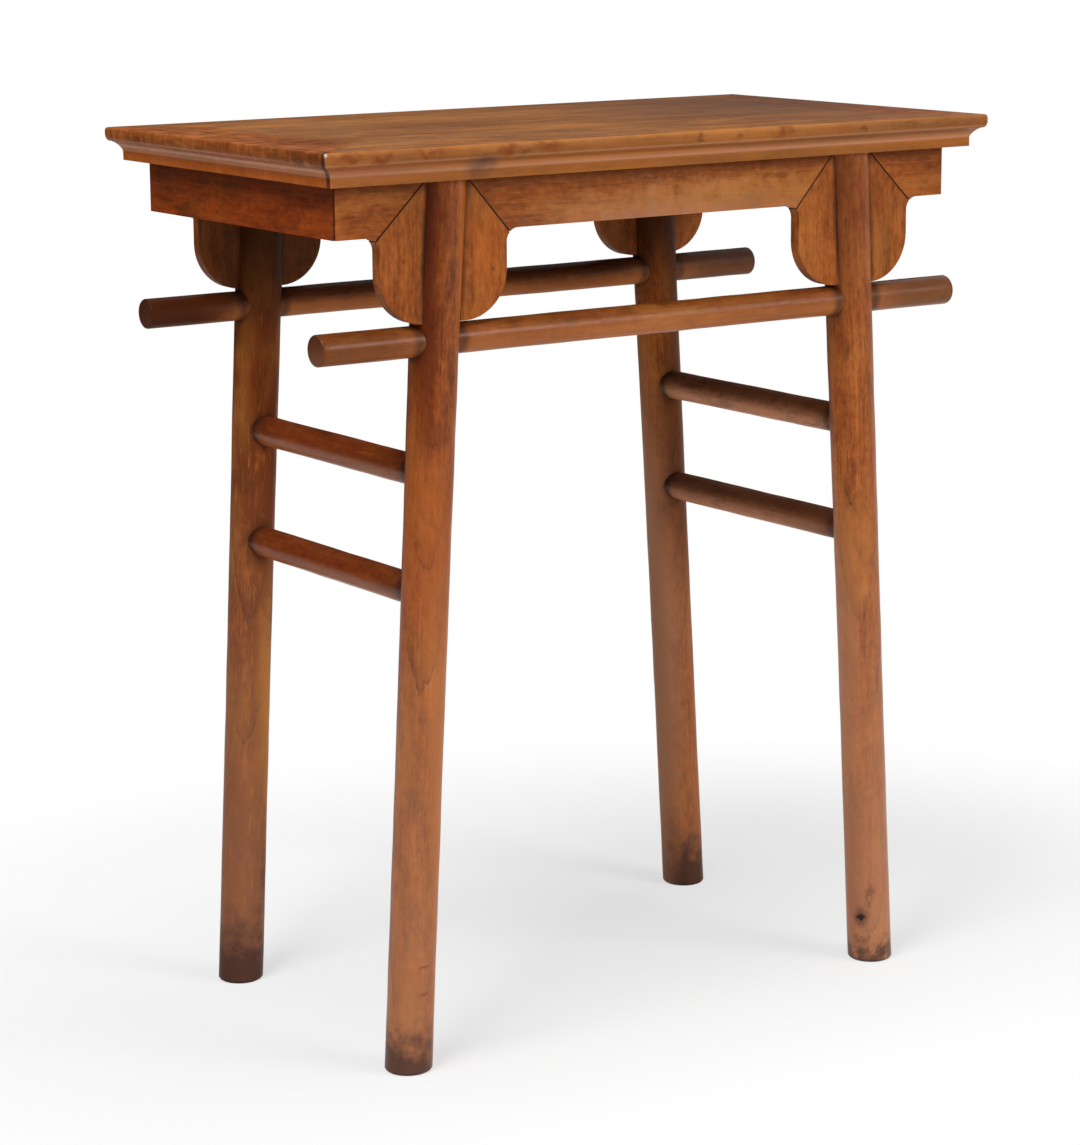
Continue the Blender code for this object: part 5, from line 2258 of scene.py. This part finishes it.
@dataclass
class Studio:
    """The pale floor, the soft light and the camera."""

    image: tuple[int, int] = (1080, 1145)
    focal_pixels: float = 3253.5544
    sensor: float = 36.0
    camera_place: Triple = (-1.7625, -2.5512, 1.0609)
    camera_yaw: float = math.radians(34.365)
    camera_pitch: float = math.radians(11.985)
    camera_roll: float = math.radians(-0.403)
    ambient: float = 0.08
    floor_size: float = 14.0
    floor_shade: float = 0.80
    floor_lift: float = 0.62
    floor_clear: Point = (0.55, 1.05)
    floor_patch: Triple = (1.0, 0.85, 1.0)
    flag_shade: float = 0.02
    lamps: tuple[SoftBox, ...] = (
        SoftBox("key_lamp", (1.75, -3.1, 1.9), (0.0, 0.0, 0.45), (1.8, 1.2), 76.0),
        SoftBox("fill_lamp", (-2.5, -1.7, 1.0), (0.0, 0.0, 0.45), (1.2, 1.2), 18.0, mirrored=False),
        SoftBox("high_lamp", (-2.3, -0.9, 3.3), (0.0, 0.0, 0.40), (1.6, 1.6), 112.0),
        SoftBox("top_lamp", (0.0, -0.10, 3.2), (0.0, -0.10, 0.0), (1.7, 1.0), 45.0),
    )
    flags: tuple[Flag, ...] = (
        Flag("left_flag", (-2.6, 0.6, 1.4), (1.0, 0.0, 0.0), (4.0, 2.8)),
        Flag("back_flag", (0.4, 2.6, 1.4), (0.0, -1.0, 0.0), (5.6, 2.8)),
        Flag("front_flag", (-2.6, -3.8, 1.4), (0.56, 0.83, 0.0), (3.4, 2.8)),
    )

    def build(self) -> None:
        """Set up the camera, the light and the floor."""
        self.camera()
        self.world()
        self.floor()
        for lamp in self.lamps:
            self.lamp(lamp)
        for flag in self.flags:
            self.flag(flag)
        bpy.context.scene.view_settings.view_transform = "Standard"

    def camera(self) -> None:
        """Stand the camera where the photograph was taken from."""
        yaw, pitch, roll = self.camera_yaw, self.camera_pitch, self.camera_roll
        ahead = Vector((math.sin(yaw) * math.cos(pitch), math.cos(yaw) * math.cos(pitch), -math.sin(pitch)))
        right = ahead.cross(Vector((0.0, 0.0, 1.0))).normalized()
        up = right.cross(ahead)
        level = Matrix((right, up, -ahead)).transposed()
        turn = level @ Matrix.Rotation(roll, 3, "Z")
        data = bpy.data.cameras.new("camera")
        data.sensor_width = self.sensor
        data.lens = self.focal_pixels * self.sensor / max(self.image)
        camera = bpy.data.objects.new("camera", data)
        camera.matrix_world = Matrix.Translation(self.camera_place) @ turn.to_4x4()
        bpy.context.scene.collection.objects.link(camera)
        bpy.context.scene.camera = camera

    def seen(self, sketch: NodeSketch) -> Socket:
        """Whether a ray comes from the camera, straight or by a reflection.

        Args:
            sketch: The nodes being drawn.

        Returns:
            1 where it does.
        """
        path = sketch.node("ShaderNodeLightPath", {})
        mirrored = sketch.math("ADD", path.outputs["Is Glossy Ray"], path.outputs["Is Transmission Ray"])
        return sketch.math("ADD", path.outputs["Is Camera Ray"], mirrored, clamp=True)

    def world(self) -> None:
        """Light the table from all round, on a white background."""
        world = bpy.data.worlds.new("studio")
        world.use_nodes = True
        bpy.context.scene.world = world
        sketch = NodeSketch(world.node_tree)
        world.node_tree.nodes.clear()
        soft = sketch.node("ShaderNodeBackground", {"Color": WHITE, "Strength": self.ambient})
        white = sketch.node("ShaderNodeBackground", {"Color": WHITE, "Strength": 1.0})
        values = {0: self.seen(sketch), 1: soft.outputs[0], 2: white.outputs[0]}
        both = sketch.node("ShaderNodeMixShader", values)
        sketch.node("ShaderNodeOutputWorld", {"Surface": both.outputs[0]})

    def floor(self) -> None:
        """Lay a pale floor that keeps the shadows near the table and runs out to white."""
        form = bmesh.new()
        bmesh.ops.create_grid(form, x_segments=1, y_segments=1, size=self.floor_size / 2)
        material = bpy.data.materials.new("pale_floor")
        material.use_nodes = True
        sketch = NodeSketch(material.node_tree)
        material.node_tree.nodes.clear()
        shade = (self.floor_shade, self.floor_shade, self.floor_shade, 1.0)
        paint = sketch.node("ShaderNodeBsdfDiffuse", {"Color": shade})
        glow = sketch.node("ShaderNodeEmission", {"Color": WHITE, "Strength": 1.0})
        place = sketch.node("ShaderNodeTexCoord", {}).outputs["Object"]
        patch = sketch.vector("DIVIDE", place, self.floor_patch).outputs[0]
        far = sketch.vector("LENGTH", patch).outputs["Value"]
        near, clear = self.floor_clear
        share = sketch.span(far, near, clear, self.floor_lift, 1.0)
        share = sketch.math("MULTIPLY", share, self.seen(sketch))
        both = sketch.node("ShaderNodeMixShader", {0: share, 1: paint.outputs[0], 2: glow.outputs[0]})
        sketch.node("ShaderNodeOutputMaterial", {"Surface": both.outputs[0]})
        floor = self.stood("floor", form, material)

    def stood(self, name: str, form: BMesh, material: bpy.types.Material) -> bpy.types.Object:
        """Stand something in the studio that isn't part of the table.

        Args:
            name: Its name.
            form: Its form, which is used up.
            material: What it is dressed in.

        Returns:
            The thing.
        """
        mesh = bpy.data.meshes.new(name)
        form.to_mesh(mesh)
        form.free()
        mesh.materials.append(material)
        thing = bpy.data.objects.new(name, mesh)
        bpy.context.scene.collection.objects.link(thing)
        return thing

    def lamp(self, lamp: SoftBox) -> None:
        """Hang one lamp.

        Args:
            lamp: The lamp.
        """
        data = bpy.data.lights.new(lamp.name, "AREA")
        data.shape = "RECTANGLE"
        data.size, data.size_y = lamp.size
        data.energy = lamp.power
        hung = bpy.data.objects.new(lamp.name, data)
        hung.visible_glossy = lamp.mirrored
        hung.location = lamp.place
        hung.rotation_euler = (Vector(lamp.aim) - Vector(lamp.place)).to_track_quat("-Z", "Y").to_euler()
        bpy.context.scene.collection.objects.link(hung)

    def flag(self, flag: Flag) -> None:
        """Stand one dark card.

        Args:
            flag: The card.
        """
        form = bmesh.new()
        bmesh.ops.create_grid(form, x_segments=1, y_segments=1, size=0.5)
        bmesh.ops.scale(form, verts=form.verts, vec=(flag.size[0], flag.size[1], 1.0))
        turn = Vector(flag.facing).to_track_quat("Z", "Y").to_matrix()
        bmesh.ops.transform(form, verts=form.verts, matrix=Matrix.Translation(flag.place) @ turn.to_4x4())
        material = bpy.data.materials.new(flag.name)
        material.use_nodes = True
        shader = material.node_tree.nodes["Principled BSDF"]
        shader.inputs["Base Color"].default_value = (self.flag_shade, self.flag_shade, self.flag_shade, 1.0)
        shader.inputs["Roughness"].default_value = 1.0
        card = self.stood(flag.name, form, material)
        card.visible_camera = False


def main() -> None:
    """Build the studio and every sub-assembly, in order."""
    logging.basicConfig(level=logging.INFO, format="%(name)s %(message)s")
    sizes = TableFrame.read()
    Studio().build()
    TableTop(sizes).build()
    for side in Side:
        LongSide(sizes, side).build()
        for end in End:
            Leg(sizes, side, end).build()
    for end in End:
        ShortEnd(sizes, end).build()


if __name__ == "__main__":
    main()
